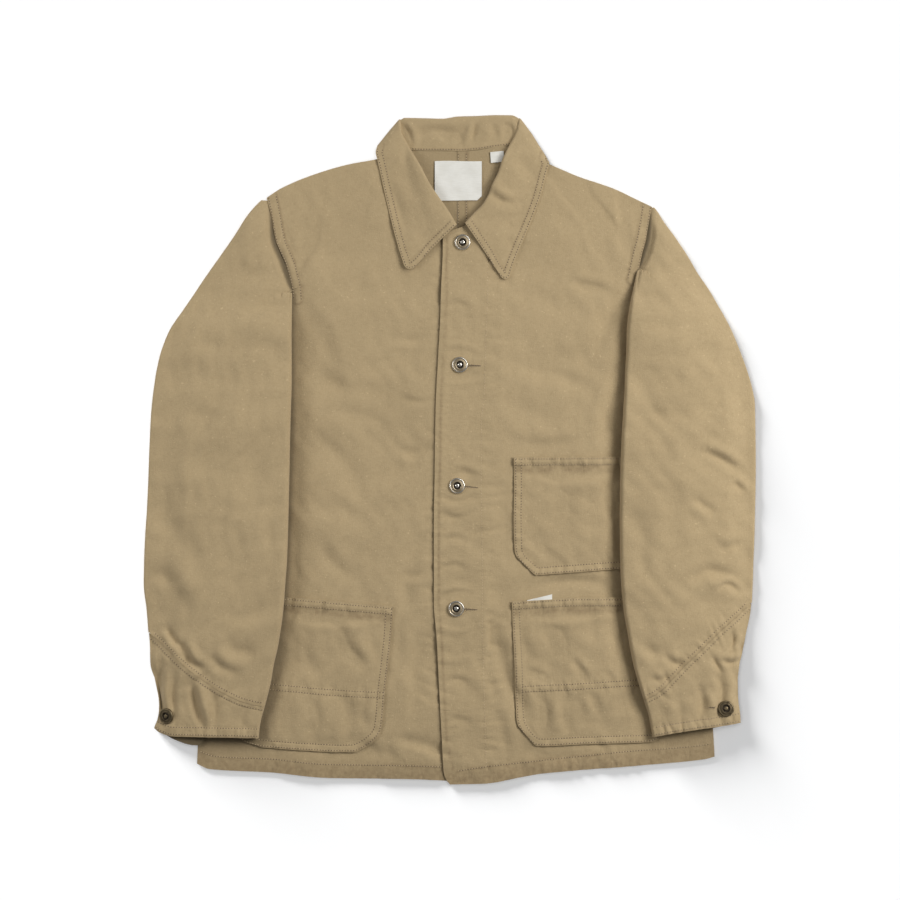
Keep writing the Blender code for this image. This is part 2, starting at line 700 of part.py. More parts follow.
def main():
    clear_scene()
    cloth = material("khaki_drill", (0.40, 0.31, 0.19), 0.9)
    metal = material("old_brass", (0.42, 0.34, 0.22), 0.4, 1.0)
    white = material("label_white", (0.75, 0.73, 0.68), 0.8)

    make_body(cloth)
    right = Sleeve("right", SLEEVE_RIGHT, SIDE_RIGHT, CUFF_SEAM_RIGHT, CUFF_HEM_RIGHT,
                   under_front_height)
    left = Sleeve("left", SLEEVE_LEFT, SIDE_LEFT, CUFF_SEAM_LEFT, CUFF_HEM_LEFT,
                  top_front_height)
    for sleeve in (right, left):
        make_sleeve(sleeve, cloth)
        make_cuff(sleeve, cloth)

    pocket("pocket_chest", POCKET_CHEST, top_front_height, cloth)
    pocket("pocket_lower_left", POCKET_LOWER_LEFT, top_front_height, cloth)
    pocket("pocket_lower_right", POCKET_LOWER_RIGHT, under_front_height, cloth)

    make_leaf("collar_right_leaf", LEAF_RIGHT, cloth, True)
    make_leaf("collar_left_leaf", LEAF_LEFT, cloth, False)
    make_collar_back(cloth)

    trim_lift = HALF_CLOTH + LAYER_GAP + TRIM / 2
    patch("neck_label", NECK_LABEL, back_height, trim_lift, white, LABEL_CORNER)
    patch("size_tag", SIZE_TAG, back_height, trim_lift, white)
    patch("pocket_tab", POCKET_TAB, top_front_height, trim_lift, white)

    for index, place in enumerate(FRONT_BUTTONS, 1):
        button(f"button_front_{index}", place, top_front_height, LAYER_GAP, metal)
    for sleeve, place in ((right, CUFF_BUTTON_RIGHT), (left, CUFF_BUTTON_LEFT)):
        button(f"button_cuff_{sleeve.side}", place, sleeve.top_at, CUFF_BUTTON_GAP, metal)


main()
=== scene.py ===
import json
from math import cos, hypot, pi, radians, sin, sqrt

import bpy
import numpy as np
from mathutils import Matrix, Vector
from mathutils.bvhtree import BVHTree

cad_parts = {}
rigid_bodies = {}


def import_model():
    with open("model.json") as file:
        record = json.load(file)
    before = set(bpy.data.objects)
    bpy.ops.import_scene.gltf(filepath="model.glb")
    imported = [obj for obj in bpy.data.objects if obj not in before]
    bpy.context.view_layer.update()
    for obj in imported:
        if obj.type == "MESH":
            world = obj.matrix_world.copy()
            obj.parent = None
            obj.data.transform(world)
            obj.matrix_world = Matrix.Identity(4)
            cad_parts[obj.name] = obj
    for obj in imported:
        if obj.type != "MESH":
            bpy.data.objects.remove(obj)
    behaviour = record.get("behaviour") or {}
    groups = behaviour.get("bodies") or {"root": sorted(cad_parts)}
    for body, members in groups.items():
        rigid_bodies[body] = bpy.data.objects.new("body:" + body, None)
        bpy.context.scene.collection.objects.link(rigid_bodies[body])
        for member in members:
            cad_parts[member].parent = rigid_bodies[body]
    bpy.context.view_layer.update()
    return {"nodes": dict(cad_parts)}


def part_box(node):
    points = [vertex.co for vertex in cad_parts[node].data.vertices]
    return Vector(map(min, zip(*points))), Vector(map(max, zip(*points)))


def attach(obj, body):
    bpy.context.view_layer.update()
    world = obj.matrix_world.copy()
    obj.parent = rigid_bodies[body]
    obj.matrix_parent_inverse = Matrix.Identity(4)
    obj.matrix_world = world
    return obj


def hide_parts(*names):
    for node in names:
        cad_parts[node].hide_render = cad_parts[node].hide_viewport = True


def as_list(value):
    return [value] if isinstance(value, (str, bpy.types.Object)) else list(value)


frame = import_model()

print("frame loaded", len(frame["nodes"]), "parts")

# A khaki drill chore jacket, buttoned and laid on its back. Sizes are in millimetres.
# The collar points to +Y and the wearer's left side is at +X.
mm = 0.001

cloth = {
    "wall": 1.2,            # thickness of the drill
    "step": 1.7,            # from one layer to the next, middle to middle
    "seamGap": 0.3,
    "neckLift": 1.7,        # room for the turned-down collar under the neck
    "crown": 2.8,           # air between the fronts and the back
    "middle": 6,            # x of the middle of the fronts
    "centreBack": 8,        # x of the centre-back seam
    "crease": 1.9,          # strength of the creases
    "pucker": 1.7,          # strength of the puckers along the stitching
    "smoothAngle": 52,
}
creaseShape = {"reach": 5, "lipAt": 1.6, "lipWide": 1.15, "fade": 0.7}    # shares of the width
puckerShape = {
    "spacing": (0.45, 1.6), "depth": (0.25, 1.35), "reach": (0.5, 1.9),    # shares of the call's own
    "width": (1.7, 3.4), "slant": 0.45, "lip": 0.5, "lipAt": 1.9, "lipWide": 1.4,
}
bandShape = {"edge": 1.2, "groove": 0.35, "grooveWide": 1.3}
farAway = 1e6
half = cloth["wall"] / 2
layer = cloth["step"]


def mix(a, b, t):
    return a + (b - a) * t


def ease(value, start, end):
    t = np.clip((value - start) / (end - start), 0, 1)
    return t * t * (3 - 2 * t)


def readCurve(rows, value):
    # a smooth curve through (from, to) rows that never overshoots them
    rows = np.array(sorted(rows), float)
    at, to = rows[:, 0], rows[:, 1]
    step = np.diff(at)
    slope = np.diff(to) / step
    lean = np.concatenate([slope[:1], np.zeros(len(at) - 2), slope[-1:]])
    turn = slope[:-1] * slope[1:]
    total = np.where(turn > 0, slope[:-1] + slope[1:], 1)
    lean[1:-1] = np.where(turn > 0, 2 * turn / total, 0)
    value = np.clip(value, at[0], at[-1])
    cell = np.clip(np.searchsorted(at, value, side="right") - 1, 0, len(at) - 2)
    size = step[cell]
    t = (value - at[cell]) / size
    back = 1 - t
    start = back * back * (to[cell] * (1 + 2 * t) + lean[cell] * size * t)
    end = t * t * (to[cell + 1] * (3 - 2 * t) - lean[cell + 1] * size * back)
    return start + end


def smoothPath(points, count, corners=()):
    # evenly spaced points on a smooth curve through the given ones; corners are indices
    points = np.array(points, float)
    cuts = [0, *corners, len(points) - 1]
    dense = []
    for first, last in zip(cuts, cuts[1:]):
        part = points[first:last + 1]
        run = np.concatenate([[0], np.cumsum(np.linalg.norm(np.diff(part, axis=0), axis=1))])
        at = np.linspace(0, run[-1], 16 * len(part))
        axes = [readCurve(list(zip(run, part[:, axis])), at) for axis in range(part.shape[1])]
        dense.append(np.stack(axes, axis=1))
    dense = np.concatenate(dense)
    run = np.concatenate([[0], np.cumsum(np.linalg.norm(np.diff(dense, axis=0), axis=1))])
    at = np.linspace(0, run[-1], count)
    return np.stack([np.interp(at, run, dense[:, axis]) for axis in range(dense.shape[1])], axis=1)


def fourSided(bottom, top, left, right):
    # fills four edges with a grid of points; bottom and top run left to right
    u = np.linspace(0, 1, len(bottom))[None, :, None]
    v = np.linspace(0, 1, len(left))[:, None, None]
    across = (1 - v) * bottom[None] + v * top[None]
    along = (1 - u) * left[:, None] + u * right[:, None]
    corners = (1 - u) * (1 - v) * bottom[0] + u * (1 - v) * bottom[-1]
    corners = corners + (1 - u) * v * top[0] + u * v * top[-1]
    return across + along - corners


def nearest(path, x, y):
    # distance to a path, the side it is on, the length along it, and the path's length
    away = np.full(x.shape, farAway)
    side = np.zeros(x.shape)
    along = np.zeros(x.shape)
    run = 0.0
    for (ax, ay), (bx, by) in zip(path, path[1:]):
        dx, dy = bx - ax, by - ay
        length = hypot(dx, dy)
        t = np.clip(((x - ax) * dx + (y - ay) * dy) / length ** 2, 0, 1)
        px, py = x - ax - t * dx, y - ay - t * dy
        apart = np.hypot(px, py)
        closer = apart < away
        away = np.where(closer, apart, away)
        side = np.where(closer, np.sign(dx * py - dy * px), side)
        along = np.where(closer, run + t * length, along)
        run += length
    return away, side, along, run


def swell(x, y, length, height, seed, waves=9):
    # broad soft unevenness
    rng = np.random.default_rng(seed)
    bentX = x + 0.16 * length * np.sin(y / length * 2.1 + seed)
    bentY = y + 0.16 * length * np.sin(x / length * 1.7 + 2 * seed)
    total = np.zeros(np.shape(x))
    for _ in range(waves):
        turn = rng.uniform(0, pi)
        size = length * rng.uniform(0.65, 1.6)
        phase = rng.uniform(0, 2 * pi)
        total = total + np.sin((bentX * cos(turn) + bentY * sin(turn)) * 2 * pi / size + phase)
    return height * total / sqrt(waves / 2)


def closeTo(path, x, y, room):
    # the points inside a box round a path
    xs = [point[0] for point in path]
    ys = [point[1] for point in path]
    across = (x > min(xs) - room) & (x < max(xs) + room)
    return across & (y > min(ys) - room) & (y < max(ys) + room)


def creases(rows, x, y):
    # each row: path, width, depth, and how much of a lip rises on its left (or right if below 0)
    shape = creaseShape
    total = np.zeros(x.shape)
    for path, width, depth, lip in rows:
        near = closeTo(path, x, y, shape["reach"] * width)
        if not near.any():
            continue
        path = smoothPath(path, 4 * len(path)) if len(path) > 2 else path
        away, side, along, run = nearest(path, x[near], y[near])
        fade = np.sin(pi * np.clip(along / run, 0.02, 0.98)) ** shape["fade"]
        trough = np.exp(-(away / width) ** 2)
        offRim = away * side * np.sign(lip) - shape["lipAt"] * width
        rim = np.exp(-(offRim / (shape["lipWide"] * width)) ** 2)
        total[near] += cloth["crease"] * fade * depth * (abs(lip) * rim - trough)
    return total


def puckers(path, x, y, seed, pitch=13, depth=0.55, reach=7, onSide=0):
    # short troughs across a stitch row, uneven in length, depth and spacing
    shape = puckerShape
    rng = np.random.default_rng(seed)
    total = np.zeros(x.shape)
    near = closeTo(path, x, y, 3 * reach)
    if not near.any():
        return total
    away, side, along, run = nearest(path, x[near], y[near])
    signed = away * side
    found = np.zeros(away.shape)
    at = 0.0
    while at < run:
        at += pitch * rng.uniform(*shape["spacing"])
        wide = rng.uniform(*shape["width"])
        deep = depth * rng.uniform(*shape["depth"])
        far = reach * rng.uniform(*shape["reach"])
        slant = rng.uniform(-shape["slant"], shape["slant"])
        lean = onSide if onSide else rng.choice([-0.5, 0, 0.5])
        ahead = along - at - slant * signed
        across = np.exp(-(ahead / wide) ** 2)
        offLip = ahead - shape["lipAt"] * wide
        lip = shape["lip"] * np.exp(-(offLip / (shape["lipWide"] * wide)) ** 2)
        found += deep * (lip - across) * np.exp(-((signed - lean * far * 0.6) / far) ** 2)
    total[near] = found * cloth["pucker"]
    return total


def bands(rows, x, y):
    # raised strips of doubled cloth: path, half width, height; a groove lies along each edge
    total = np.zeros(x.shape)
    for path, wide, height in rows:
        away, side, along, run = nearest(path, x, y)
        total += height * (1 - ease(away, wide - bandShape["edge"], wide + bandShape["edge"]))
        total -= bandShape["groove"] * np.exp(-((away - wide) / bandShape["grooveWide"]) ** 2)
    return total


def crinkles(paths, x, y, base=0.0):
    # how much fine wrinkling there is: x holds wrinkles that run across, y those that run up
    across = np.full(x.shape, float(base))
    upward = np.full(x.shape, float(base))
    for path, reach, strength in paths:
        best = np.full(x.shape, farAway)
        runX = np.zeros(x.shape)
        for (ax, ay), (bx, by) in zip(path, path[1:]):
            length = hypot(bx - ax, by - ay)
            if length < 0.01:
                continue
            t = np.clip(((x - ax) * (bx - ax) + (y - ay) * (by - ay)) / length ** 2, 0, 1)
            apart = np.hypot(x - ax - t * (bx - ax), y - ay - t * (by - ay))
            runX = np.where(apart < best, abs(bx - ax) / length, runX)
            best = np.minimum(best, apart)
        mask = strength * np.exp(-(best / reach) ** 2)
        upward = np.maximum(upward, mask * runX)
        across = np.maximum(across, mask * (1 - runX))
    return np.stack([across, upward, np.zeros(x.shape)], axis=-1)


def withShadow(fine, *shadows):
    # the third number is how deep in shadow the cloth lies
    fine[..., 2] = np.clip(np.max(np.stack(shadows), axis=0), 0, 1)
    return fine


def swells(x, y, seed, *rows):
    # several lengths of unevenness: length and height
    return sum(swell(x, y, length, height, seed + index) for index, (length, height) in enumerate(rows))


cuts = {}    # the flat cut of each piece of cloth: width, length and area in metres


def cutSize(grid, keep):
    # the longest row, the longest column and the area of a grid
    wide = np.linalg.norm(np.diff(grid, axis=1), axis=2).sum(axis=1).max() * mm
    tall = np.linalg.norm(np.diff(grid, axis=0), axis=2).sum(axis=0).max() * mm
    corners = np.cross(grid[1:, 1:] - grid[:-1, :-1], grid[1:, :-1] - grid[:-1, 1:])
    area = (np.linalg.norm(corners, axis=2) / 2)[keep].sum() * mm ** 2
    return round(wide, 3), round(tall, 3), min(area, 0.999 * round(wide, 3) * round(tall, 3))


def choose(piece):
    bpy.ops.object.select_all(action='DESELECT')
    piece.select_set(True)
    bpy.context.view_layer.objects.active = piece


def addAttribute(mesh, name, kind, field, values):
    made = mesh.attributes.new(name, kind, 'POINT')
    made.data.foreach_set(field, values.astype(np.float32).ravel())


def gridObject(name, grid, finish, wall=cloth["wall"], missing=None, flip=False, seam=None,
               crinkleAndShadow=None):
    # a closed shell of cloth on a grid of points, given as rows from one edge to the other
    rows, columns = grid.shape[:2]
    if flip:
        grid, missing, seam, crinkleAndShadow = [None if part is None else part[:, ::-1]
                                        for part in (grid, missing, seam, crinkleAndShadow)]
    number = np.arange(rows * columns).reshape(rows, columns)
    faces = np.stack([number[:-1, :-1], number[:-1, 1:], number[1:, 1:], number[1:, :-1]], axis=-1)
    keep = np.ones((rows - 1, columns - 1), bool) if missing is None else ~missing
    faces = faces[keep]
    cuts[name] = cutSize(grid, keep)
    used = np.unique(faces)
    again = np.zeros(rows * columns, int)
    again[used] = np.arange(len(used))
    mesh = bpy.data.meshes.new(name + "_cloth")
    mesh.from_pydata((grid.reshape(-1, 3)[used] * mm).tolist(), [], again[faces].tolist())
    if seam is not None:
        addAttribute(mesh, "seam", 'FLOAT', "value", seam.reshape(-1)[used])
    if crinkleAndShadow is not None:
        addAttribute(mesh, "crinkleAndShadow", 'FLOAT_VECTOR', "vector", crinkleAndShadow.reshape(-1, 3)[used])
    mesh.materials.append(finish)
    piece = bpy.data.objects.new(name + "_cloth", mesh)
    bpy.context.scene.collection.objects.link(piece)
    shell = piece.modifiers.new("Wall", 'SOLIDIFY')
    shell.thickness = wall * mm
    shell.offset = 0
    shell.use_even_offset = False
    choose(piece)
    bpy.ops.object.modifier_apply(modifier=shell.name)
    bpy.ops.object.shade_smooth_by_angle(angle=radians(cloth["smoothAngle"]))
    return piece


def finished(piece, slotName, *nodes):
    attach(piece, "root")
    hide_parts(*nodes)
    return piece


# camera, floor and light

camera = {"height": 2380, "lens": 85, "sensor": 36}
view = bpy.data.cameras.new("camera")
view.lens = camera["lens"]
view.sensor_width = camera["sensor"]
cameraObject = bpy.data.objects.new("camera", view)
cameraObject.location = (0, 0, camera["height"] * mm)
bpy.context.scene.collection.objects.link(cameraObject)
bpy.context.scene.camera = cameraObject
bpy.context.scene.view_settings.view_transform = 'Standard'

light = {
    "world": 0.19, "sky": (0.97, 0.985, 1.0),
    # a soft sun from the upper right, and a broad lamp on the same side; widths and leans in degrees
    "key": 1.16, "keyWidth": 30, "keyLean": (40, -34),
    "side": 14.6, "sidePlace": (1.12, 0.30, 1.02), "lampSize": 0.55,
    # a weaker lamp on the left, so both sleeves shade the fronts beside them
    "fill": 6.1, "fillPlace": (-1.12, 0.28, 0.72),
    # the sun that lays the soft shadow on the floor, to the right and below
    "floorKey": 7.4, "floorWidth": 21, "floorLean": (-71.5, -51),
    # and the broad light from above that keeps that shadow pale
    "floorTop": 1.4, "floorTopWidth": 70,
}
ground = {"size": 6, "drop": 0.0003, "colour": (0.93, 0.93, 0.93), "roughness": 0.95}


def addSun(name, strength, width, lean):
    sun = bpy.data.lights.new(name, 'SUN')
    sun.energy = strength
    sun.angle = radians(width)
    item = bpy.data.objects.new(name, sun)
    leanX, leanY = lean
    item.rotation_euler = (radians(leanY), radians(leanX), 0)
    bpy.context.scene.collection.objects.link(item)
    return item


def addLamp(name, strength, place):
    lamp = bpy.data.lights.new(name, 'AREA')
    lamp.energy = strength
    lamp.size = light["lampSize"]
    item = bpy.data.objects.new(name, lamp)
    item.location = place
    item.rotation_euler = (-Vector(place)).to_track_quat('-Z', 'Y').to_euler()
    bpy.context.scene.collection.objects.link(item)
    return item


def makeLight():
    world = bpy.data.worlds.new("world")
    world.use_nodes = True
    sky = world.node_tree.nodes["Background"]
    sky.inputs["Color"].default_value = (*light["sky"], 1)
    sky.inputs["Strength"].default_value = light["world"]
    bpy.context.scene.world = world
    key = addSun("key", light["key"], light["keyWidth"], light["keyLean"])
    floorKey = addSun("floor_key", light["floorKey"], light["floorWidth"], light["floorLean"])
    floorTop = addSun("floor_top", light["floorTop"], light["floorTopWidth"], (0, 0))
    side = addLamp("side", light["side"], light["sidePlace"])
    fill = addLamp("fill", light["fill"], light["fillPlace"])
    return [key, side, fill], [floorKey, floorTop]


def shareLight(clothLights, floorLights, floor):
    # the floor has a sun of its own, so its shadow falls on the other side
    onFloor = bpy.data.collections.new("lit_floor")
    onFloor.objects.link(floor)
    garment = bpy.data.collections.new("lit_jacket")
    for item in bpy.data.objects:
        if item.type == 'MESH' and item != floor:
            garment.objects.link(item)
    for lamp in floorLights:
        lamp.light_linking.receiver_collection = onFloor
    for lamp in clothLights:
        lamp.light_linking.receiver_collection = garment


def makeFloor():
    bpy.ops.object.select_all(action='DESELECT')
    bpy.ops.mesh.primitive_plane_add(size=ground["size"], location=(0, 0, -ground["drop"]))
    floor = bpy.context.active_object
    floor.name = "floor"
    bpy.ops.object.transform_apply(location=True, rotation=True, scale=True)
    paint = bpy.data.materials.new("floor_white")
    paint.use_nodes = True
    shader = paint.node_tree.nodes["Principled BSDF"]
    shader.inputs["Base Color"].default_value = (*ground["colour"], 1)
    shader.inputs["Roughness"].default_value = ground["roughness"]
    shader.inputs["Specular IOR Level"].default_value = 0.0
    floor.data.materials.append(paint)
    return floor


clothLights, floorLights = makeLight()
floor = makeFloor()
print("light and floor")


# finishes

drill = {
    "colour": (0.405, 0.302, 0.166),
    "pale": (0.455, 0.348, 0.199),     # worn thread on raised edges and slubs
    "deep": (0.265, 0.190, 0.102),     # painted shade: along the seams, at the hem, beside the sleeves and under the pocket bands
    "shadow": 0.2,                     # share of its colour left under a fold
    "faded": 0.84, "speckled": 0.72, "fleck": 1.25,    # shares of the colour in the mottling
    "roughness": (0.84, 0.97), "shine": 0.22, "sheen": 0.10, "sheenRoughness": 0.6,
    "twillPitch": 0.0011, "twillBend": 1.2, "twillRelief": 0.2,
    "weaveStrength": 0.4, "weaveDepth": 0.0005,
    "wrinkles": 85, "wrinkleDepth": 0.0042, "wrinkleRim": 0.11,
}


def newFinish(name):
    made = bpy.data.materials.new(name)
    made.use_nodes = True
    tree = made.node_tree
    place = tree.nodes.new("ShaderNodeTexCoord").outputs["Object"]
    return made, tree, tree.nodes["Principled BSDF"], place


def ramp(tree, value, low, high, start=0.0, end=1.0):
    made = tree.nodes.new("ShaderNodeMapRange")
    for name, amount in (("From Min", start), ("From Max", end), ("To Min", low), ("To Max", high)):
        made.inputs[name].default_value = amount
    tree.links.new(value, made.inputs["Value"])
    return made.outputs[0]


def noise(tree, place, scale, detail=3.0, stretch=(1, 1, 1)):
    spread = tree.nodes.new("ShaderNodeMapping")
    spread.inputs["Scale"].default_value = stretch
    tree.links.new(place, spread.inputs["Vector"])
    made = tree.nodes.new("ShaderNodeTexNoise")
    made.inputs["Scale"].default_value = scale
    made.inputs["Detail"].default_value = detail
    tree.links.new(spread.outputs["Vector"], made.inputs["Vector"])
    return made.outputs["Fac"]


def shaded(colour, share):
    return tuple(value * share for value in colour)


def mixColour(tree, factor, first, second):
    made = tree.nodes.new("ShaderNodeMix")
    made.data_type = 'RGBA'
    colours = (made.inputs[6], made.inputs[7])
    for socket, value in zip(colours, (first, second)):
        if isinstance(value, tuple):
            socket.default_value = (*value, 1)
        else:
            tree.links.new(value, socket)
    tree.links.new(factor, made.inputs[0])
    return made.outputs[2]


def math(tree, kind, first, second):
    made = tree.nodes.new("ShaderNodeMath")
    made.operation = kind
    for socket, value in zip(made.inputs, (first, second)):
        if isinstance(value, (int, float)):
            socket.default_value = value
        else:
            tree.links.new(value, socket)
    return made.outputs[0]


def attribute(tree, name, output):
    made = tree.nodes.new("ShaderNodeAttribute")
    made.attribute_name = name
    return made.outputs[output]


def bumped(tree, height, strength, distance, under=None):
    made = tree.nodes.new("ShaderNodeBump")
    made.inputs["Strength"].default_value = strength
    made.inputs["Distance"].default_value = distance
    tree.links.new(height, made.inputs["Height"])
    if under is not None:
        tree.links.new(under, made.inputs["Normal"])
    return made.outputs["Normal"]


def dress(tree, shader, colour, roughness, normal):
    tree.links.new(colour, shader.inputs["Base Color"])
    tree.links.new(roughness, shader.inputs["Roughness"])
    tree.links.new(normal, shader.inputs["Normal"])


def drillFinish(name, turn=0.0, tone=1.0):
    # khaki cotton drill: a fine diagonal twill, slubs and mottled dye, with painted shade along the
    # seams and painted shadow beside folds and under layers
    made, tree, shader, place = newFinish(name)
    spin = tree.nodes.new("ShaderNodeMapping")
    spin.inputs["Rotation"].default_value = (0, 0, radians(turn))
    tree.links.new(place, spin.inputs["Vector"])
    place = spin.outputs["Vector"]
    blotch = noise(tree, place, 14, 4)
    mottle = noise(tree, place, 210, 3)
    slub = noise(tree, place, 820, 2, (1, 0.28, 1))
    weft = noise(tree, place, 900, 2, (0.26, 1, 1))
    nep = noise(tree, place, 360, 1)
    grain = noise(tree, place, 900, 1)
    colour, pale, deep = [shaded(drill[part], tone) for part in ("colour", "pale", "deep")]
    threads = math(tree, 'ADD', slub, weft)
    body = mixColour(tree, ramp(tree, threads, 0.0, 0.6, 0.8, 1.35), colour, pale)
    fade = ramp(tree, blotch, 0.0, 0.30, 0.35, 0.75)
    body = mixColour(tree, fade, body, shaded(colour, drill["faded"]))
    speck = ramp(tree, mottle, 0.0, 0.26, 0.50, 0.78)
    body = mixColour(tree, speck, body, shaded(colour, drill["speckled"]))
    fleck = ramp(tree, nep, 0.0, 0.7, 0.69, 0.80)
    body = mixColour(tree, fleck, body, shaded(pale, drill["fleck"]))
    # painted shade: the seam attribute, broken up unevenly, mixes the colour towards the deep shade
    # colour
    uneven = ramp(tree, mottle, 0.45, 0.90, 0.35, 0.65)
    paintedShade = math(tree, 'MULTIPLY', attribute(tree, "seam", "Fac"), uneven)
    body = mixColour(tree, paintedShade, body, deep)
    # painted shadow: the third number of the wrinkle attribute darkens the colour
    split = tree.nodes.new("ShaderNodeSeparateXYZ")
    tree.links.new(attribute(tree, "crinkleAndShadow", "Vector"), split.inputs["Vector"])
    body = mixColour(tree, split.outputs["Z"], body, shaded(colour, drill["shadow"]))
    shader.inputs["Specular IOR Level"].default_value = drill["shine"]
    shader.inputs["Sheen Weight"].default_value = drill["sheen"]
    shader.inputs["Sheen Roughness"].default_value = drill["sheenRoughness"]
    twill = tree.nodes.new("ShaderNodeTexWave")
    twill.bands_direction = 'DIAGONAL'
    twill.inputs["Scale"].default_value = 0.628 / drill["twillPitch"]
    twill.inputs["Distortion"].default_value = drill["twillBend"]
    tree.links.new(place, twill.inputs["Vector"])
    weave = math(tree, 'MULTIPLY', twill.outputs["Fac"], drill["twillRelief"])
    relief = math(tree, 'ADD', math(tree, 'ADD', weave, threads), grain)
    woven = bumped(tree, relief, drill["weaveStrength"], drill["weaveDepth"])
    # fine wrinkles across the stitching, sharp at the bottom
    wrinkles = []
    for socket, stretch in (("X", (0.30, 1, 1)), ("Y", (1, 0.30, 1))):
        fold = noise(tree, place, drill["wrinkles"], 2.5, stretch)
        valley = math(tree, 'ABSOLUTE', math(tree, 'SUBTRACT', fold, 0.5), 0)
        valley = math(tree, 'MINIMUM', valley, drill["wrinkleRim"])
        wrinkles.append(math(tree, 'MULTIPLY', valley, split.outputs[socket]))
    crumpled = bumped(tree, math(tree, 'ADD', *wrinkles), 1.0, drill["wrinkleDepth"], woven)
    dress(tree, shader, body, ramp(tree, mottle, *drill["roughness"], 0.3, 0.7), crumpled)
    return made


bodyDrill = drillFinish("drill_body")
sleeveDrill = drillFinish("drill_sleeve", 8)
# a darker copy of the same drill: painted shade for the inside of the backs
shadedInsideDrill = drillFinish("drill_inside_shaded", 0, 0.84)
print("finishes")


# body: two backs and two fronts

body = {
    "sideRight": [(-351, -283), (-260, -279), (-150, -274), (60, -266), (118, -262), (148, -236),
                  (168, -196), (177, -177), (208, -184), (235, -195), (262, -200), (282, -205)],
    "sideLeft": [(-343, 296), (-250, 291), (-150, 288), (60, 284), (118, 279), (160, 256),
                 (190, 226), (202, 211), (220, 215), (235, 219), (256, 223), (272, 226)],
    "hemRight": [(-283, -351), (-269, -357), (-197, -361), (-134, -367), (-45, -368), (38, -373)],
    "hemLeft": [(0, -374), (38, -373), (78, -366), (108, -361), (215, -352), (285, -345),
                (296, -342)],
    "shoulderRight": [(-205, 282), (-190, 292), (-158, 306), (-115, 319), (-87, 324), (-53, 333)],
    "shoulderLeft": [(75, 338), (110, 320), (143, 306), (186, 291), (207, 281), (226, 272)],
    "neckRight": [(38, 245), (5, 247), (-9, 264), (-20, 276), (-31, 287), (-40, 298), (-48, 310),
                  (-52, 322), (-53, 333)],
    "neckLeft": [(-8, 241), (4, 246), (17, 251), (31, 262), (44, 272), (55, 283), (62, 295),
                 (69, 308), (73, 322), (75, 338)],
    "neckBack": [(-53, 333), (-44, 334.5), (8, 334), (28, 335), (60, 340), (75, 338)],
    "topEdge": [(0, -374), (-4, -369), (-7, -360), (-9, -325), (-12, -268), (-15, -209),
                (-18, -168), (-18, -81), (-17, -20), (-16, 45), (-13, 107), (-11, 143),
                (-10, 178), (-8, 228), (-8, 241)],
    "underEdge": [(38, -373), (38, -100), (38, 245)],
}
frontButtons = ["button_front_1", "button_front_2", "button_front_3", "button_front_4"]


def backHeight(x, y):
    lift = ease(y, 195, 300) * (1 - ease(np.abs(x - 10), 92, 190))
    return half + cloth["neckLift"] * lift


def underHeight(x, y):
    crown = 1 - ease(np.abs(x - cloth["middle"]), 120, 240)
    crown = crown * ease(y, -374, -250) * (1 - ease(y, 150, 290))
    return backHeight(x, y) + layer + cloth["crown"] * crown


def topHeight(x, y):
    return underHeight(x, y) + layer * (1 - ease(x, 52, 90))


# stitch rows and seams on the fronts, from one end to the other
rows = {
    "placket": [(42, 250), (42, 181), (40, 128), (38, 57), (35, 32), (35, -53), (36, -138),
                (36, -183), (38, -268), (40, -339), (41, -357)],
    "topEdge": [(-3, 238), (-5, 143), (-10, 45), (-12, -81), (-12, -168), (-9, -209),
                (-6, -268), (-3, -325), (3, -356)],
    "underEdge": [(-20, 215), (-21, 143), (-22, 57), (-26, -142), (-29, -224), (-35, -318)],
    "hemLeft": [(8, -359), (40, -354), (78, -350), (133, -344), (190, -338), (269, -332),
                (292, -329)],
    "hemRight": [(-280, -337), (-262, -343), (-197, -346), (-134, -352), (-45, -353), (34, -357)],
    "armholeRight": [(-199, 285), (-194.5, 262), (-189.5, 235), (-178.5, 208), (-171.5, 180),
                     (-170.5, 168)],
    "armholeLeft": [(220.5, 274), (217.5, 256), (213.5, 235), (209.5, 220), (205.5, 202),
                    (203, 190)],
    # the folds of the sleeves over the fronts: y, x
    "foldRight": [(282, -205), (213, -186), (177, -178), (60, -177), (-56, -180), (-150, -184),
                  (-218, -192), (-258, -200), (-321, -214)],
    "foldLeft": [(272, 226), (214, 214), (197, 209), (162, 201), (110, 197), (-16, 190),
                 (-137, 190), (-205, 198), (-258, 210), (-319, 226)],
}
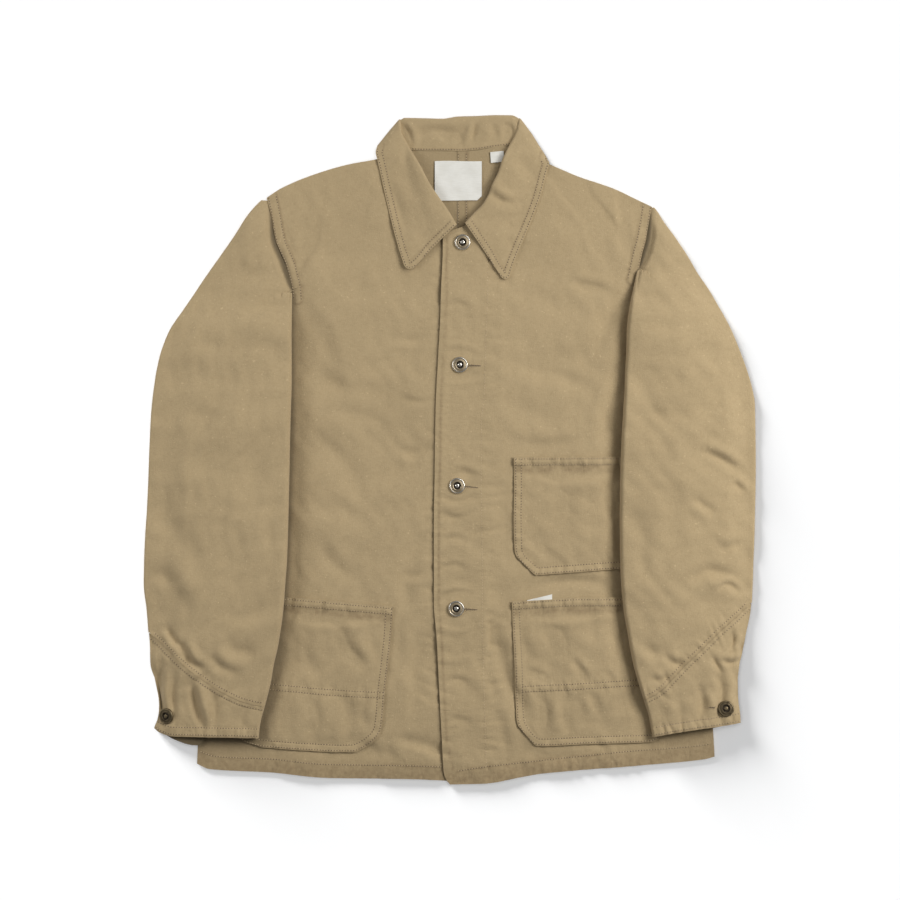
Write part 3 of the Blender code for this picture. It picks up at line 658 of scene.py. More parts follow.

# the creases: path, width, depth, lip on its left (or right below 0)
frontRightCreases = [
    ([(-20, 130), (-40, 122), (-62, 124)], 5, 0.9, 0.5),
    ([(-17, 60), (-34, 54), (-56, 58)], 5, 0.9, -0.5),
    ([(-19, 4), (-40, -4), (-60, 2)], 6, 1.0, 0.5),
    ([(-20, -128), (-34, -140), (-52, -142)], 5, 1.0, 0.5),
    ([(-148, 252), (-159, 226), (-170, 200)], 7, 1.8, 0.6),
    ([(-186, 246), (-176, 214), (-172, 190)], 5, 1.2, -0.5),
    ([(-90, 296), (-104, 262), (-122, 232), (-150, 214)], 16, 1.5, 0.5),
    ([(-60, 262), (-92, 230), (-128, 206)], 14, 1.3, -0.6),
    ([(-24, 196), (-70, 178), (-128, 172)], 12, 1.1, 0.5),
    ([(-165, 168), (-140, 120), (-132, 62)], 15, 1.5, 0.6),
    ([(-30, 120), (-66, 96), (-112, 84), (-150, 60)], 14, 1.1, -0.5),
    ([(-168, 96), (-120, 70), (-66, 66)], 9, 0.8, 0.5),
    ([(-158, 20), (-120, -12), (-98, -62)], 13, 1.3, 0.5),
    ([(-26, 10), (-52, -22), (-96, -36)], 12, 1.1, 0.6),
    ([(-172, -60), (-128, -66), (-84, -92)], 12, 1.2, -0.6),
    ([(-30, -88), (-46, -132), (-50, -190)], 11, 1.3, 0.6),
    ([(-26, -196), (-42, -240), (-38, -300)], 9, 1.5, -0.6),
    ([(-60, -190), (-56, -236), (-62, -290)], 8, 0.9, 0.5),
    ([(-150, -100), (-128, -128), (-96, -146)], 8, 1.0, 0.6),
    ([(-66, -322), (-30, -330), (2, -346)], 8, 1.7, -0.7),
    ([(-120, -318), (-84, -338), (-46, -342)], 8, 0.9, 0.5),
    ([(-240, -318), (-232, -340), (-236, -356)], 6, 0.9, 0.5),
    ([(-205, -318), (-196, -338), (-200, -358)], 7, 0.8, -0.5),
    ([(-150, 44), (-104, 40), (-60, 22)], 7, 0.6, 0.4),
]
frontLeftCreases = [
    # round the buttons, across the placket
    ([(-12, 106), (6, 112), (32, 105)], 3.6, 1.3, 0.7),
    ([(-12, 84), (8, 79), (34, 85)], 3.6, 1.2, -0.7),
    ([(-14, -28), (8, -23), (33, -30)], 3.6, 1.4, 0.7),
    ([(-14, -50), (8, -58), (34, -50)], 4.0, 1.4, -0.7),
    ([(-12, -70), (6, -76), (26, -70)], 4.0, 0.9, 0.5),
    ([(-14, -165), (8, -160), (34, -166)], 3.6, 1.3, 0.7),
    ([(-14, -188), (6, -195), (36, -188)], 4.0, 1.4, -0.7),
    ([(-13, 60), (2, 52), (20, 54)], 4.0, 0.9, 0.6),
    ([(-14, 28), (4, 34), (26, 30)], 4.0, 0.8, 0.6),
    ([(-15, 4), (2, -2), (14, 2)], 3.4, 0.9, -0.6),
    ([(-15, -104), (6, -98), (22, -104)], 4.0, 0.9, 0.6),
    ([(-14, -134), (4, -128), (20, -134)], 3.6, 0.9, 0.6),
    ([(-12, -222), (4, -228), (22, -222)], 4.0, 0.9, -0.6),
    ([(-10, -262), (6, -256), (24, -262)], 4.0, 0.9, 0.6),
    ([(-8, -306), (8, -300), (26, -306)], 4.0, 0.8, 0.6),
    ([(-8, 158), (6, 164), (24, 158)], 4.0, 0.8, 0.6),
    ([(-6, 196), (8, 202), (28, 198)], 4.0, 0.9, -0.6),
    # the long fold from the collar to the armhole
    ([(112, 306), (138, 282), (160, 250), (172, 214)], 7, 1.5, -0.6),
    ([(144, 299), (159, 277), (185, 246), (198, 222)], 8, 2.1, 0.65),
    ([(186, 282), (195, 253), (199, 226)], 6, 1.7, -0.6),
    ([(118, 292), (138, 258), (162, 232), (186, 212)], 14, 1.3, 0.5),
    ([(132, 188), (158, 182), (182, 177)], 6, 1.4, 0.6),
    ([(60, 176), (104, 168), (150, 152)], 12, 1.0, -0.5),
    ([(196, 176), (176, 148), (164, 112)], 10, 1.5, 0.6),
    ([(188, 132), (152, 108), (100, 98)], 12, 1.2, 0.5),
    ([(56, 110), (80, 92), (120, 84), (166, 62)], 9, 1.0, -0.6),
    ([(54, 60), (90, 40), (136, 34)], 11, 1.0, 0.5),
    ([(190, 70), (176, 40), (178, 14)], 8, 1.2, -0.6),
    ([(50, -10), (60, -60), (56, -118)], 12, 1.0, 0.5),
    ([(60, 16), (98, 6), (150, 10)], 7, 0.9, 0.6),
    ([(44, -186), (54, -222), (66, -262), (86, -300)], 9, 1.9, 0.65),
    ([(30, -210), (42, -252), (62, -292)], 7, 1.1, -0.5),
    ([(46, -282), (58, -310), (62, -344)], 7, 1.3, 0.6),
    ([(52, -140), (56, -172), (50, -206)], 9, 1.2, -0.5),
    ([(92, -152), (140, -146), (184, -152)], 6, 1.3, 0.5),
    ([(74, -334), (108, -344), (150, -342)], 6, 0.8, -0.5),
    ([(250, -316), (262, -332), (260, -346)], 7, 1.0, 0.5),
    ([(230, -322), (218, -338), (222, -350)], 6, 0.9, -0.5),
    ([(160, -322), (172, -336), (168, -352)], 6, 0.8, 0.5),
    ([(82, -332), (76, -350), (80, -364)], 5, 0.7, 0.5),
]


def frontRelief(x, y, which):
    sheet = frontLeftCreases if which == "left" else frontRightCreases
    seed = 21 if which == "left" else 35
    z = swells(x, y, seed, (150, 0.85), (62, 0.4), (24, 0.22)) + creases(sheet, x, y)
    hem, armhole = [rows[edge + which.capitalize()] for edge in ("hem", "armhole")]
    z = z + puckers(hem, x, y, seed + 3, 11, 0.6, 9, -1)
    z = z + bands([(armhole, 5.2, 0.9)], x, y) + puckers(armhole, x, y, seed + 4, 7, 0.3, 5)
    if which == "left":
        z = z + puckers(rows["placket"], x, y, seed + 5, 12, 0.6, 9, 1)
        z = z + puckers(rows["topEdge"], x, y, seed + 6, 12, 0.8, 11, -1)
        away, side, along, run = nearest(rows["placket"], x, y)
        z = z + 0.35 * ease(away * side, -2, 2) * (x < 60)
    else:
        z = z + puckers(rows["underEdge"], x, y, seed + 5, 17, 0.4, 10, 1)
        lift = ease(y, -260, -330) * np.exp(-((x + 30) / 22) ** 2)
        z = z + 1.1 * lift
    return z


def besideSleeve(x, y, which):
    # how far inside the sleeve's fold a point is
    fold = rows["fold" + which.capitalize()]
    return readCurve([(at, abs(to)) for at, to in fold], y) - np.abs(x)


def tuckShadow(x, y, which):
    # the fronts darken close to the sleeves
    inwards = np.clip(besideSleeve(x, y, which), 0, 99)
    low = ease(y, -140, -250)
    wide, deep = (6.0, 0.16) if which == "left" else (4.2 + 7.5 * low, 0.62)
    return deep * np.exp(-(inwards / wide) ** 2) * ease(y, -350, -322)


def middleOf(name):
    low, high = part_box(name)
    return (low[0] + high[0]) / 2 / mm, (low[1] + high[1]) / 2 / mm


def frontSurface(x, y, which):
    # the middle of the wall of a front, with all its relief, kept clear of what lies below
    flat = topHeight(x, y) if which == "left" else underHeight(x, y)
    relief = frontRelief(x, y, which)
    if which == "left":
        for name in frontButtons:
            middleX, middleY = middleOf(name)
            away = np.hypot(x - middleX, y - middleY)
            relief = relief * ease(away, 7, 15) - 0.5 * np.exp(-((away - 13.5) / 2.2) ** 2)
    # beside the sleeves the fronts fall away under the fold
    inwards = besideSleeve(x, y, which)
    relief = relief - 1.7 * (1 - ease(inwards, -4, 30)) * ease(y, 250, 190)
    covered = ease(np.abs(x), 176, 200) * ease(y, 240, 170)
    relief = mix(relief, np.minimum(relief, 0.5), covered)
    low = backHeight(x, y) + 1.3
    if which == "left":
        over = x < 42
        below = frontSurface(x[over], y[over], "right")
        low[over] = np.maximum(low[over], below + 1.45)
        edge = nearest(rows["topEdge"], x, y)[0]
        low = low + 0.5 * (1 - ease(edge, 3, 7)) * over
    # a little air under the fronts, except where the collar lies on them
    underCollar = ease(y, 168, 196) * (1 - ease(np.abs(x - 10), 104, 130))
    inside = ease(y, -372, -338) * (1 - ease(y, 236, 282)) * ease(inwards, 0, 30)
    relief = relief + 0.8 * inside * (1 - underCollar)
    room = mix(0.9, 2.6, inside * (1 - underCollar))
    return np.clip(flat + relief, low, np.maximum(flat + room, low))


def seamShade(paths, x, y, wide=1.6):
    shade = np.zeros(x.shape)
    for path, reach in paths:
        away = nearest(path, x, y)[0]
        shade = np.maximum(shade, np.exp(-((away - reach) / wide) ** 2))
    return shade


def panelGrid(centre, side, hem, top, columns, count, sideCorner, topCorner):
    bottom = smoothPath(hem, columns)
    above = smoothPath(top, columns, [topCorner])
    return fourSided(bottom, above, smoothPath(centre, count), smoothPath(side, count, [sideCorner]))


def turned(table):
    return [(x, y) for y, x in table]


def makeBody():
    made = {}
    gap = cloth["seamGap"] / 2
    middle = cloth["centreBack"]
    for which in ("right", "left"):
        edge = middle + (gap if which == "left" else -gap)
        side = turned(body["side" + which.capitalize()])
        corner = side.index((211, 202) if which == "left" else (-177, 177))
        shoulder = body["shoulderLeft"] if which == "left" else body["shoulderRight"][::-1]
        hem = body["hemLeft"] if which == "left" else body["hemRight"][::-1]
        backHem = [(x, y + 1.5) for x, y in hem]
        backHem = [(edge, -371)] + [point for point in backHem if abs(point[0] - middle) > 32]
        neck = [point for point in body["neckBack"] if (point[0] > edge) == (which == "left")]
        neck = [(edge, 334)] + (neck if which == "left" else neck[::-1])
        backSide = [(x, y + (1.5 if y < -330 else 0)) for x, y in side]
        grid = panelGrid([(edge, -371), (edge, 0), (edge, 334)], backSide, backHem,
                         neck + shoulder[1:], 66, 150, corner, len(neck) - 1)
        x, y = grid[..., 0], grid[..., 1]
        z = backHeight(x, y)
        z = z + 0.35 * np.exp(-((np.abs(x - 14) - 4.5) / 1.5) ** 2) * ease(y, 250, 280)
        points = np.stack([x, y, z], axis=-1)
        # painted shade along the centre-back seam and the felled seam
        shade = seamShade([([(9.5, -371), (9.5, 334)], 0), ([(18.5, 200), (18.5, 336)], 0)], x, y)
        made["back_" + which] = gridObject("back_" + which, points, shadedInsideDrill,
                                           flip=which == "right", seam=shade)
        centre = body["topEdge"] if which == "left" else body["underEdge"]
        neck = body["neckLeft"] if which == "left" else body["neckRight"]
        columns, count = (118, 262) if which == "left" else (122, 262)
        grid = panelGrid(centre, side, hem, neck + shoulder[1:], columns, count, corner,
                         len(neck) - 1)
        x, y = grid[..., 0], grid[..., 1]
        points = np.stack([x, y, frontSurface(x, y, which)], axis=-1)
        if which == "left":
            paths = [(rows["topEdge"], 0), (rows["hemLeft"], 0), (rows["armholeLeft"], 5.2)]
        else:
            paths = [(rows["hemRight"], 0), (rows["armholeRight"], 5.2)]
        # painted shade along the stitch rows, darker towards the hem and in a strip beside the sleeves
        shade = seamShade(paths, x, y, 1.3)
        hemEdge = nearest(hem, x, y)[0]
        shade = np.maximum(shade, 0.95 * (1 - ease(hemEdge, 3, 27)))
        inwards = besideSleeve(x, y, which)
        # painted shadow beside the sleeves, and on the right front along the top front's edge
        shadow = tuckShadow(x, y, which) * ease(y, 236, 206)
        if which == "right":
            away = nearest([(x0 - 1.2, y0) for x0, y0 in body["topEdge"]], x, y)[0]
            shadow = np.maximum(shadow, 0.5 * np.exp(-(away / 1.9) ** 2))
        shadeBesideSleeve = np.exp(-(np.clip(inwards, 0, 99) / 6.5) ** 2) * ease(y, -350, -322)
        shade = np.maximum(shade, (0.45 if which == "left" else 0.3) * shadeBesideSleeve)
        fine = [(path, 9, 0.55) for path, reach in paths[:-1]]
        if which == "left":
            fine += [(rows["placket"], 9, 0.55), ([(12, -372), (12, 240)], 22, 0.3)]
        fine += [(hem, 12, 0.8)]
        made["front_" + which] = gridObject("front_" + which, points, bodyDrill,
                                            flip=which == "right", seam=shade,
                                            crinkleAndShadow=withShadow(crinkles(fine, x, y, 0.08),
                                                               shadow))
    return made


panels = makeBody()
for name, piece in panels.items():
    finished(piece, "drill", name)
print("body panels")


# pockets

pockets = {
    "pocket_chest": {
        "on": "left",
        "bottom": [(96, -140), (110, -139), (150, -136), (180, -134), (201, -133)],
        "left": [(96, -140), (93, -138), (74, -119), (72, -112), (71, -75), (71.5, -40), (71, -8)],
        "right": [(201, -133), (201, -70), (201, -7.5)],
        "top": [(71, -8), (110, -8.5), (150, -8), (201, -7.5)],
        "corners": [1, 2],
        "creases": [([(84, -22), (130, -30), (188, -24)], 6, 1.0, -0.6),
                    ([(110, -24), (126, -60), (122, -100)], 12, 1.0, 0.5),
                    ([(186, -18), (178, -50), (186, -84)], 7, 1.1, 0.5),
                    ([(78, -70), (96, -104), (120, -128)], 9, 0.9, -0.5),
                    ([(140, -16), (152, -24), (170, -22)], 4, 0.9, 0.6)],
    },
    "pocket_lower_left": {
        "on": "left",
        "bottom": [(98, -331), (107, -331), (150, -329), (186, -328), (224, -327)],
        "left": [(98, -331), (95, -330), (76, -308), (74, -300), (72, -240), (70, -200), (69, -169)],
        "right": [(224, -327), (228, -326), (249, -303), (248, -240), (246, -166)],
        "top": [(69, -169), (84, -168.5), (149, -165), (190, -164.5), (246, -166)],
        "corners": [1, 2],
        "creases": [([(136, -232), (144, -244), (153, -260)], 5, 1.5, 0.6),
                    ([(157, -270), (161, -280), (165, -293)], 5, 1.5, -0.6),
                    ([(83, -246), (98, -252), (111, -260)], 5, 1.2, 0.6),
                    ([(88, -180), (120, -186), (180, -178)], 5, 1.2, -0.6),
                    ([(110, -186), (122, -216), (116, -248)], 11, 1.1, 0.5),
                    ([(180, -186), (190, -214), (178, -246)], 9, 1.2, -0.5),
                    ([(100, -274), (106, -298), (98, -322)], 7, 1.2, 0.6),
                    ([(132, -270), (128, -296), (136, -322)], 6, 1.1, -0.6),
                    ([(186, -272), (196, -298), (190, -320)], 8, 1.2, 0.6),
                    ([(210, -180), (202, -220), (212, -252)], 8, 1.1, 0.5)],
    },
    "pocket_lower_right": {
        "on": "right",
        "bottom": [(-210, -332.5), (-196, -333.5), (-160, -336), (-125, -338), (-108, -338)],
        "left": [(-210, -332.5), (-234, -325), (-243, -312), (-238, -235), (-232, -162)],
        "right": [(-108, -338), (-104, -337), (-79, -318), (-76, -310), (-72, -269), (-68, -235),
                  (-65, -205), (-63, -175)],
        "top": [(-232, -162), (-181, -165), (-120, -170), (-63, -175)],
        "corners": [1, 2],
        "creases": [([(-128, -182), (-115, -222), (-86, -246)], 8, 1.6, 0.6),
                    ([(-175, -184), (-150, -190), (-90, -188)], 5, 1.1, -0.6),
                    ([(-160, -190), (-166, -226), (-150, -252)], 10, 1.2, 0.5),
                    ([(-82, -192), (-86, -218), (-78, -244)], 7, 1.1, -0.5),
                    ([(-158, -272), (-150, -300), (-156, -328)], 7, 1.2, 0.6),
                    ([(-120, -270), (-112, -296), (-120, -330)], 7, 1.3, -0.6),
                    ([(-92, -272), (-98, -292), (-90, -314)], 6, 1.1, 0.6),
                    ([(-182, -270), (-186, -296), (-178, -324)], 7, 1.1, -0.5)],
    },
}
pocketRows = {
    "pocket_chest": [([(71, -13.4), (201, -12.8)], 3.2)],
    "pocket_lower_left": [([(70, -174.4), (149, -170.4), (246, -171.4)], 3.2),
                          ([(78, -267), (140, -264), (212, -260), (248, -259)], 3)],
    "pocket_lower_right": [([(-232, -167.4), (-181, -170.4), (-120, -175.4), (-63, -180.4)], 3.2),
                           ([(-236, -262), (-185, -266), (-130, -271), (-71, -274)], 3)],
}


def outlineOf(name):
    # the sewn edge of a pocket, from one top corner round to the other
    data = pockets[name]
    return data["left"][::-1] + data["bottom"][1:] + data["right"][1:]


def pocketSurface(name, x, y):
    data = pockets[name]
    outline = outlineOf(name) + data["top"][::-1][1:]
    away = nearest(outline, x, y)[0]
    inner = ease(away, 6, 22)
    below = frontSurface(x, y, data["on"])
    relief = 0.75 * inner + creases(data["creases"], x, y) * (0.35 + 0.65 * inner)
    seed = 50 + len(name)
    relief = relief + swell(x, y, 46, 0.35, seed) * inner + swell(x, y, 19, 0.13, seed + 1)
    relief = relief + puckers(outline, x, y, seed + 2, 8, 0.42, 5, -1 if name != "pocket_chest" else 1)
    relief = relief + bands([(outline, 7.5, 0.35)], x, y)
    for path, wide in pocketRows[name]:
        relief = relief + puckers(path, x, y, seed + 3, 8, 0.6, 7) + bands([(path, wide, 0.4)], x, y)
    top = data["top"]
    away = nearest(top, x, y)[0]
    relief = relief + 0.9 * (1 - ease(away, 8.5, 10.5)) - 1.0 * np.exp(-((away - 15) / 5) ** 2)
    relief = relief + puckers([(x0, y0 - 14) for x0, y0 in top], x, y, seed + 7, 17, 0.9, 6)
    covered = ease(np.abs(x), 178, 200)
    relief = mix(relief, np.minimum(relief, 0.45), covered)
    return below + layer + np.maximum(relief, -0.35)


def makePocket(name):
    data = pockets[name]
    columns = 88 if name == "pocket_lower_left" else 74
    count = 86 if "lower" in name else 74
    grid = fourSided(smoothPath(data["bottom"], columns), smoothPath(data["top"], columns),
                     smoothPath(data["left"], count, data["corners"]),
                     smoothPath(data["right"], count))
    x, y = grid[..., 0], grid[..., 1]
    points = np.stack([x, y, pocketSurface(name, x, y)], axis=-1)
    outline = outlineOf(name)
    # painted shade along the sewn edge, painted shadow under the top band, and painted shadow beside
    # the sleeves
    shade = seamShade([(outline, 0)], x, y, 1.2)
    away = nearest(data["top"], x, y)[0]
    below = swell(x, y, 26, 0.35, len(name)) + 0.75
    shade = np.maximum(shade, np.clip(below, 0, 1) * np.exp(-((away - 13.5) / 4.2) ** 2))
    shadow = tuckShadow(x, y, data["on"])
    fine = [(outline, 9, 0.55), (data["top"], 18, 0.8)]
    fine += [(path, 12, 0.75) for path, reach in pocketRows[name]]
    return gridObject(name, points, bodyDrill, seam=shade,
                      crinkleAndShadow=withShadow(crinkles(fine, x, y, 0.14), shadow))


pocketPieces = {name: finished(makePocket(name), "drill", name) for name in pockets}
print("pockets")


# sleeves and cuffs: flattened tubes, share 0 at the outer fold and 1 at the inner

tube = {
    "foldInner": 8.0,       # height of the soft fold beside the body
    "foldOuter": 4.0,       # height of the fold that rests on the surface
    "backSeam": 6.0,        # from the outer fold to the seam on top
    "frontSeam": 22.0,      # from the inner fold to the seam underneath
    "overBody": 1.1,        # clear space between the fronts and the sleeves
    "overPocket": 1.7,
    "armpit": 118,
    "fanStart": -140,       # below this the rows turn towards the slanted cuff seam
    "across": 92,           # columns on top
    "nose": 10,             # columns round a fold
    "turn": 9,              # and from there to the seam underneath
    "backTop": 4, "underAcross": 44,
    "cuffRows": 46, "cuffAcross": 84, "cuffTurn": 8, "cuffUnder": 40,
}
sleeves = {
    "right": {
        "name": "right", "inwards": 1, "corner": 177, "top": 279,
        "rows": [   # y, outer edge, inner edge, fullness of the middle
            (282, -207, -204, 0.0), (276, -214, -203, 0.3), (262, -226, -200, 1.2),
            (240, -240, -195, 2.7), (213, -259, -186, 3.7), (186, -278, -178, 4.4),
            (171, -288, -177, 4.8), (155, -299, -177, 5.2), (132, -314, -177, 5.5),
            (105, -324, -177, 5.5), (78, -329.5, -177, 5.5), (38, -334, -178, 5.2),
            (-56, -338, -180, 4.6), (-123, -341.5, -182, 4.6), (-150, -342, -184, 4.6),
            (-177, -339, -186, 4.5), (-218, -336, -192, 4.0), (-240, -335, -197, 3.6),
            (-258, -330, -200, 3.0), (-286, -325.5, -207, 2.6), (-300, -327, -211, 2.3),
            (-312, -331, -213, 2.0), (-340, -333, -215, 2.0)],
        "cuffSeam": [(0, -204), (0.22, -233), (0.39, -253), (0.61, -271), (0.81, -281), (1, -286)],
        "cuffHem": [(0, -311), (0.07, -316), (0.2, -319.5), (0.65, -320), (1, -321)],
        "peek": 10.0, "side": "sideRight", "seed": 71,
        "creases": [
            ([(-182, 150), (-206, 158), (-232, 150)], 9, 1.4, 0.6),
            ([(-184, 100), (-210, 118), (-250, 120)], 12, 1.5, -0.5),
            ([(-318, 70), (-280, 84), (-236, 70)], 14, 1.3, 0.5),
            ([(-322, 40), (-290, 44), (-262, 34)], 10, 1.0, 0.5),
            ([(-330, -20), (-290, -8), (-250, -22)], 15, 1.3, -0.5),
            ([(-190, 20), (-214, -10), (-226, -60)], 13, 1.3, 0.6),
            ([(-186, -40), (-200, -80), (-204, -130)], 9, 1.2, -0.6),
            ([(-330, -70), (-300, -96), (-276, -140)], 14, 1.4, 0.5),
            ([(-332, -130), (-310, -150), (-292, -186)], 10, 1.6, 0.6),
            ([(-196, -170), (-224, -186), (-250, -190)], 10, 1.3, 0.6),
            ([(-300, -214), (-288, -236), (-272, -246)], 5, 1.9, 0.7),
            ([(-316, -198), (-306, -214), (-296, -222)], 4, 1.6, -0.6),
            ([(-270, -226), (-256, -240), (-236, -250)], 6, 1.2, 0.6),
            ([(-322, -240), (-326, -270), (-318, -300)], 5, 2.2, 0.7),
            ([(-306, -250), (-310, -276), (-306, -304)], 4, 1.3, -0.6),
            ([(-288, -258), (-282, -286), (-276, -308)], 5, 2.3, 0.7),
            ([(-266, -264), (-262, -290), (-264, -312)], 5, 1.0, -0.6),
            ([(-228, -284), (-232, -300), (-226, -314)], 6, 0.9, 0.5),
            ([(-250, -210), (-236, -224), (-214, -226)], 8, 1.1, -0.5),
            ([(-240, 210), (-222, 196), (-200, 196)], 9, 1.0, 0.5),
            ([(-300, 130), (-272, 120), (-250, 96)], 12, 1.1, 0.5)],
    },
    "left": {
        "name": "left", "inwards": -1, "corner": 202, "top": 271,
        "rows": [
            (272, 227.5, 226, 0.0), (266, 232, 224.5, 0.4), (256, 238, 223, 1.1),
            (235, 253, 219, 2.6), (214, 267, 214.5, 3.5), (197, 277, 209, 4.1),
            (180, 288.5, 205, 4.6), (162, 299, 201, 5.0), (133, 314.5, 197.5, 5.4),
            (110, 324, 197, 5.5), (90, 331.5, 196, 5.5), (65, 338.5, 195, 5.4),
            (52, 340.5, 194, 5.3), (-16, 341.5, 190.5, 5.0), (-75, 340.5, 189.5, 4.7),
            (-137, 338.5, 190.5, 4.6), (-179, 336.5, 194, 4.5), (-205, 331, 198.5, 4.4),
            (-226, 327, 202, 4.1), (-240, 323, 205, 3.8), (-258, 321.5, 210, 3.2),
            (-280, 322, 217, 2.6), (-296, 324, 222, 2.3), (-330, 326, 228, 2.0)],
        "cuffSeam": [(0, -171), (0.2, -198), (0.39, -224), (0.61, -250), (0.82, -269), (1, -278)],
        "cuffHem": [(0, -304.5), (0.24, -308), (0.47, -311), (0.8, -316), (1, -319.5)],
        "peek": 2.0, "side": "sideLeft", "seed": 83,
        "creases": [
            ([(206, 176), (222, 168), (246, 168)], 8, 1.3, 0.6),
            ([(203, 128), (228, 140), (262, 134)], 11, 1.4, -0.5),
            ([(256, 214), (246, 196), (232, 186)], 9, 1.1, 0.5),
            ([(310, 96), (280, 112), (244, 98)], 13, 1.5, 0.5),
            ([(316, 70), (296, 56), (286, 24)], 12, 1.4, 0.6),
            ([(206, 60), (228, 84), (262, 78)], 12, 1.1, -0.5),
            ([(202, 20), (226, 40), (260, 34)], 10, 1.1, 0.5),
            ([(280, 0), (302, -10), (323, -22)], 5, 2.4, 0.75),
            ([(315, -35), (322, -41), (330, -47)], 4, 1.7, 0.7),
            ([(271, -54), (282, -62), (295, -70)], 5, 1.7, -0.7),
            ([(300, -112), (312, -108), (323, -103)], 6, 1.6, 0.6),
            ([(200, -60), (214, -96), (216, -150)], 10, 1.3, 0.6),
            ([(240, -30), (246, -80), (236, -130)], 15, 1.3, 0.5),
            ([(265, -151), (276, -141), (288, -135), (308, -140), (326, -156)], 8, 2.6, -0.7),
            ([(296, -156), (308, -150), (324, -160)], 4, 2.0, 0.6),
            ([(314, -202), (316, -212), (313, -223)], 3.2, 1.4, 0.7),
            ([(322, -214), (326, -224), (326, -235)], 3.2, 1.4, -0.7),
            ([(292, -231), (298, -240), (303, -248)], 3.2, 1.3, 0.6),
            ([(298, -233), (312, -237), (328, -234)], 3.2, 1.2, 0.6),
            ([(236, -228), (252, -238), (262, -236)], 5, 1.5, 0.6),
            ([(214, -210), (228, -224), (250, -222)], 8, 1.2, -0.5),
            ([(222, -252), (232, -256), (244, -250)], 4, 1.2, 0.6),
            ([(312, -238), (322, -262), (318, -290)], 5, 2.0, 0.7),
            ([(296, -246), (304, -270), (298, -300)], 5, 1.5, -0.6),
            ([(276, -258), (282, -282), (274, -304)], 5, 1.2, 0.6),
            ([(252, -270), (256, -290), (250, -310)], 6, 0.9, -0.5)],
    },
}


def outerEdge(s, y):
    return readCurve([(row[0], row[1]) for row in s["rows"]], y)


def innerEdge(s, y):
    inner = readCurve([(row[0], row[2]) for row in s["rows"]], y)
    armhole = readCurve([row for row in body[s["side"]] if row[0] >= s["corner"]], y)
    return np.where(y > s["corner"], armhole + s["inwards"] * 2.4, inner)


def spread(s, y):
    return np.abs(innerEdge(s, y) - outerEdge(s, y))


def placeAcross(s, share, y):
    return mix(outerEdge(s, y), innerEdge(s, y), share)


def outerRadius(s, y):
    return np.minimum(tube["foldOuter"] / 2, spread(s, y) * 0.2)


def innerRadius(s, y):
    grown = ease(y, s["corner"] + 4, s["corner"] - 32)
    return mix(1.6, tube["foldInner"] / 2, grown) * (1 - 0.35 * ease(y, -200, -320))


def frontFlat(s, x, y):
    return topHeight(x, y) if s["name"] == "left" else underHeight(x, y)


def overBody(s, x, y, soft=False):
    outside = np.abs(x) - np.abs(readCurve(body[s["side"]], y))
    slope = 1 - ease(outside, 20, 48)
    if soft:
        return slope
    hole = (outside < 2).astype(float)
    return np.where(y > s["corner"], 0.0, np.where(y > tube["armpit"], hole, slope))


def layUnder(s, x, y, soft=False):
    onBody = frontFlat(s, x, y) + cloth["wall"] + tube["overBody"]
    onBody = onBody + tube["overPocket"] * (1 - ease(y, 10, 60))
    return mix(half, onBody, overBody(s, x, y, soft))


def capValley(s, share, y):
    # how far a point is from the armhole, and how wide the cap's valley beside it is
    part = np.clip((y - s["corner"] + 3) / (s["top"] - s["corner"]), 0, 1)
    return (1 - share) * spread(s, y), 8.5 * np.sin(pi * part ** 0.8) ** 0.8


def layUpper(s, share, y):
    x = placeAcross(s, share, y)
    front = frontFlat(s, x, y)
    cap = half + mix(outerRadius(s, y) * 2, front - half, share)
    fold = layUnder(s, x, y, True) + mix(outerRadius(s, y) * 2, innerRadius(s, y) * 2, share)
    z = mix(cap, fold, ease(y, s["corner"] + 6, s["corner"] - 55))
    inside = np.abs(x) < np.abs(readCurve(body[s["side"]], y)) + 4
    z = np.where((y < s["corner"]) & inside, np.maximum(z, front + 2.6), z)
    tuck = np.exp(-(((1 - share) * spread(s, y) - 1.2) / 2.6) ** 2)
    tuck = tuck * ease(y, s["corner"] - 2, s["corner"] + 2)
    full = readCurve([(row[0], row[3]) for row in s["rows"]], y)
    proud = 5.0 * ease(y, s["corner"] - 2, s["corner"] - 60) * ease(share, 0.2, 0.95)
    proud = proud * (1 - 0.5 * ease(y, -230, -320))
    edge, valley = capValley(s, share, y)
    ridge = ease(edge, valley, valley + 6) * (1 - ease(edge, valley + 8, valley + 62))
    window = ease(y, s["corner"] - 40, s["corner"] + 4) * (1 - ease(y, s["top"] - 34, s["top"] - 4))
    z = z + 4.2 * ridge * window
    return z + proud - 1.5 * tuck + full * np.sin(pi * np.clip(share, 0, 1))


def noseShare(s, inner, y):
    if inner:
        return 1 - innerRadius(s, y) / spread(s, y)
    return outerRadius(s, y) / spread(s, y)


def seamShare(s, y):
    width = spread(s, y)
    return np.minimum(tube["backSeam"], width * 0.35) / width


def turnShare(s, y):
    return 1 - tube["frontSeam"] / spread(s, y)


def foldArc(s, inner, angle, y):
    radius = innerRadius(s, y) if inner else outerRadius(s, y)
    share = noseShare(s, inner, y)
    low = layUnder(s, placeAcross(s, share, y), y)
    high = layUpper(s, share, y)
    outward = s["inwards"] * (1 if inner else -1)
    x = placeAcross(s, share, y) + outward * radius * np.cos(angle)
    return x, (low + high) / 2 + (high - low) / 2 * np.sin(angle)


def noseAngles():
    return np.linspace(90, -90, tube["nose"] + 2)[1:-1] * pi / 180


def settle(levelAt, shareOf, shape):
    # where a slanting row crosses a line whose share depends on y
    y = levelAt(np.full(shape, 0.5))
    for _ in range(6):
        y = levelAt(shareOf(y))
    return shareOf(y), y


def pointOn(s, share, y):
    return float(placeAcross(s, share, np.array(y))), y


def cuffHemRow(s):
    return [pointOn(s, share, y) for share, y in s["cuffHem"]]


def cuffSeamRows(s):
    # the curved double row above the cuff, as points on top of the sleeve
    points = []
    for share in np.linspace(0.02, 0.99, 24):
        y = float(readCurve(s["cuffSeam"], np.array(share)))
        points.append(pointOn(s, share, y))
    return points


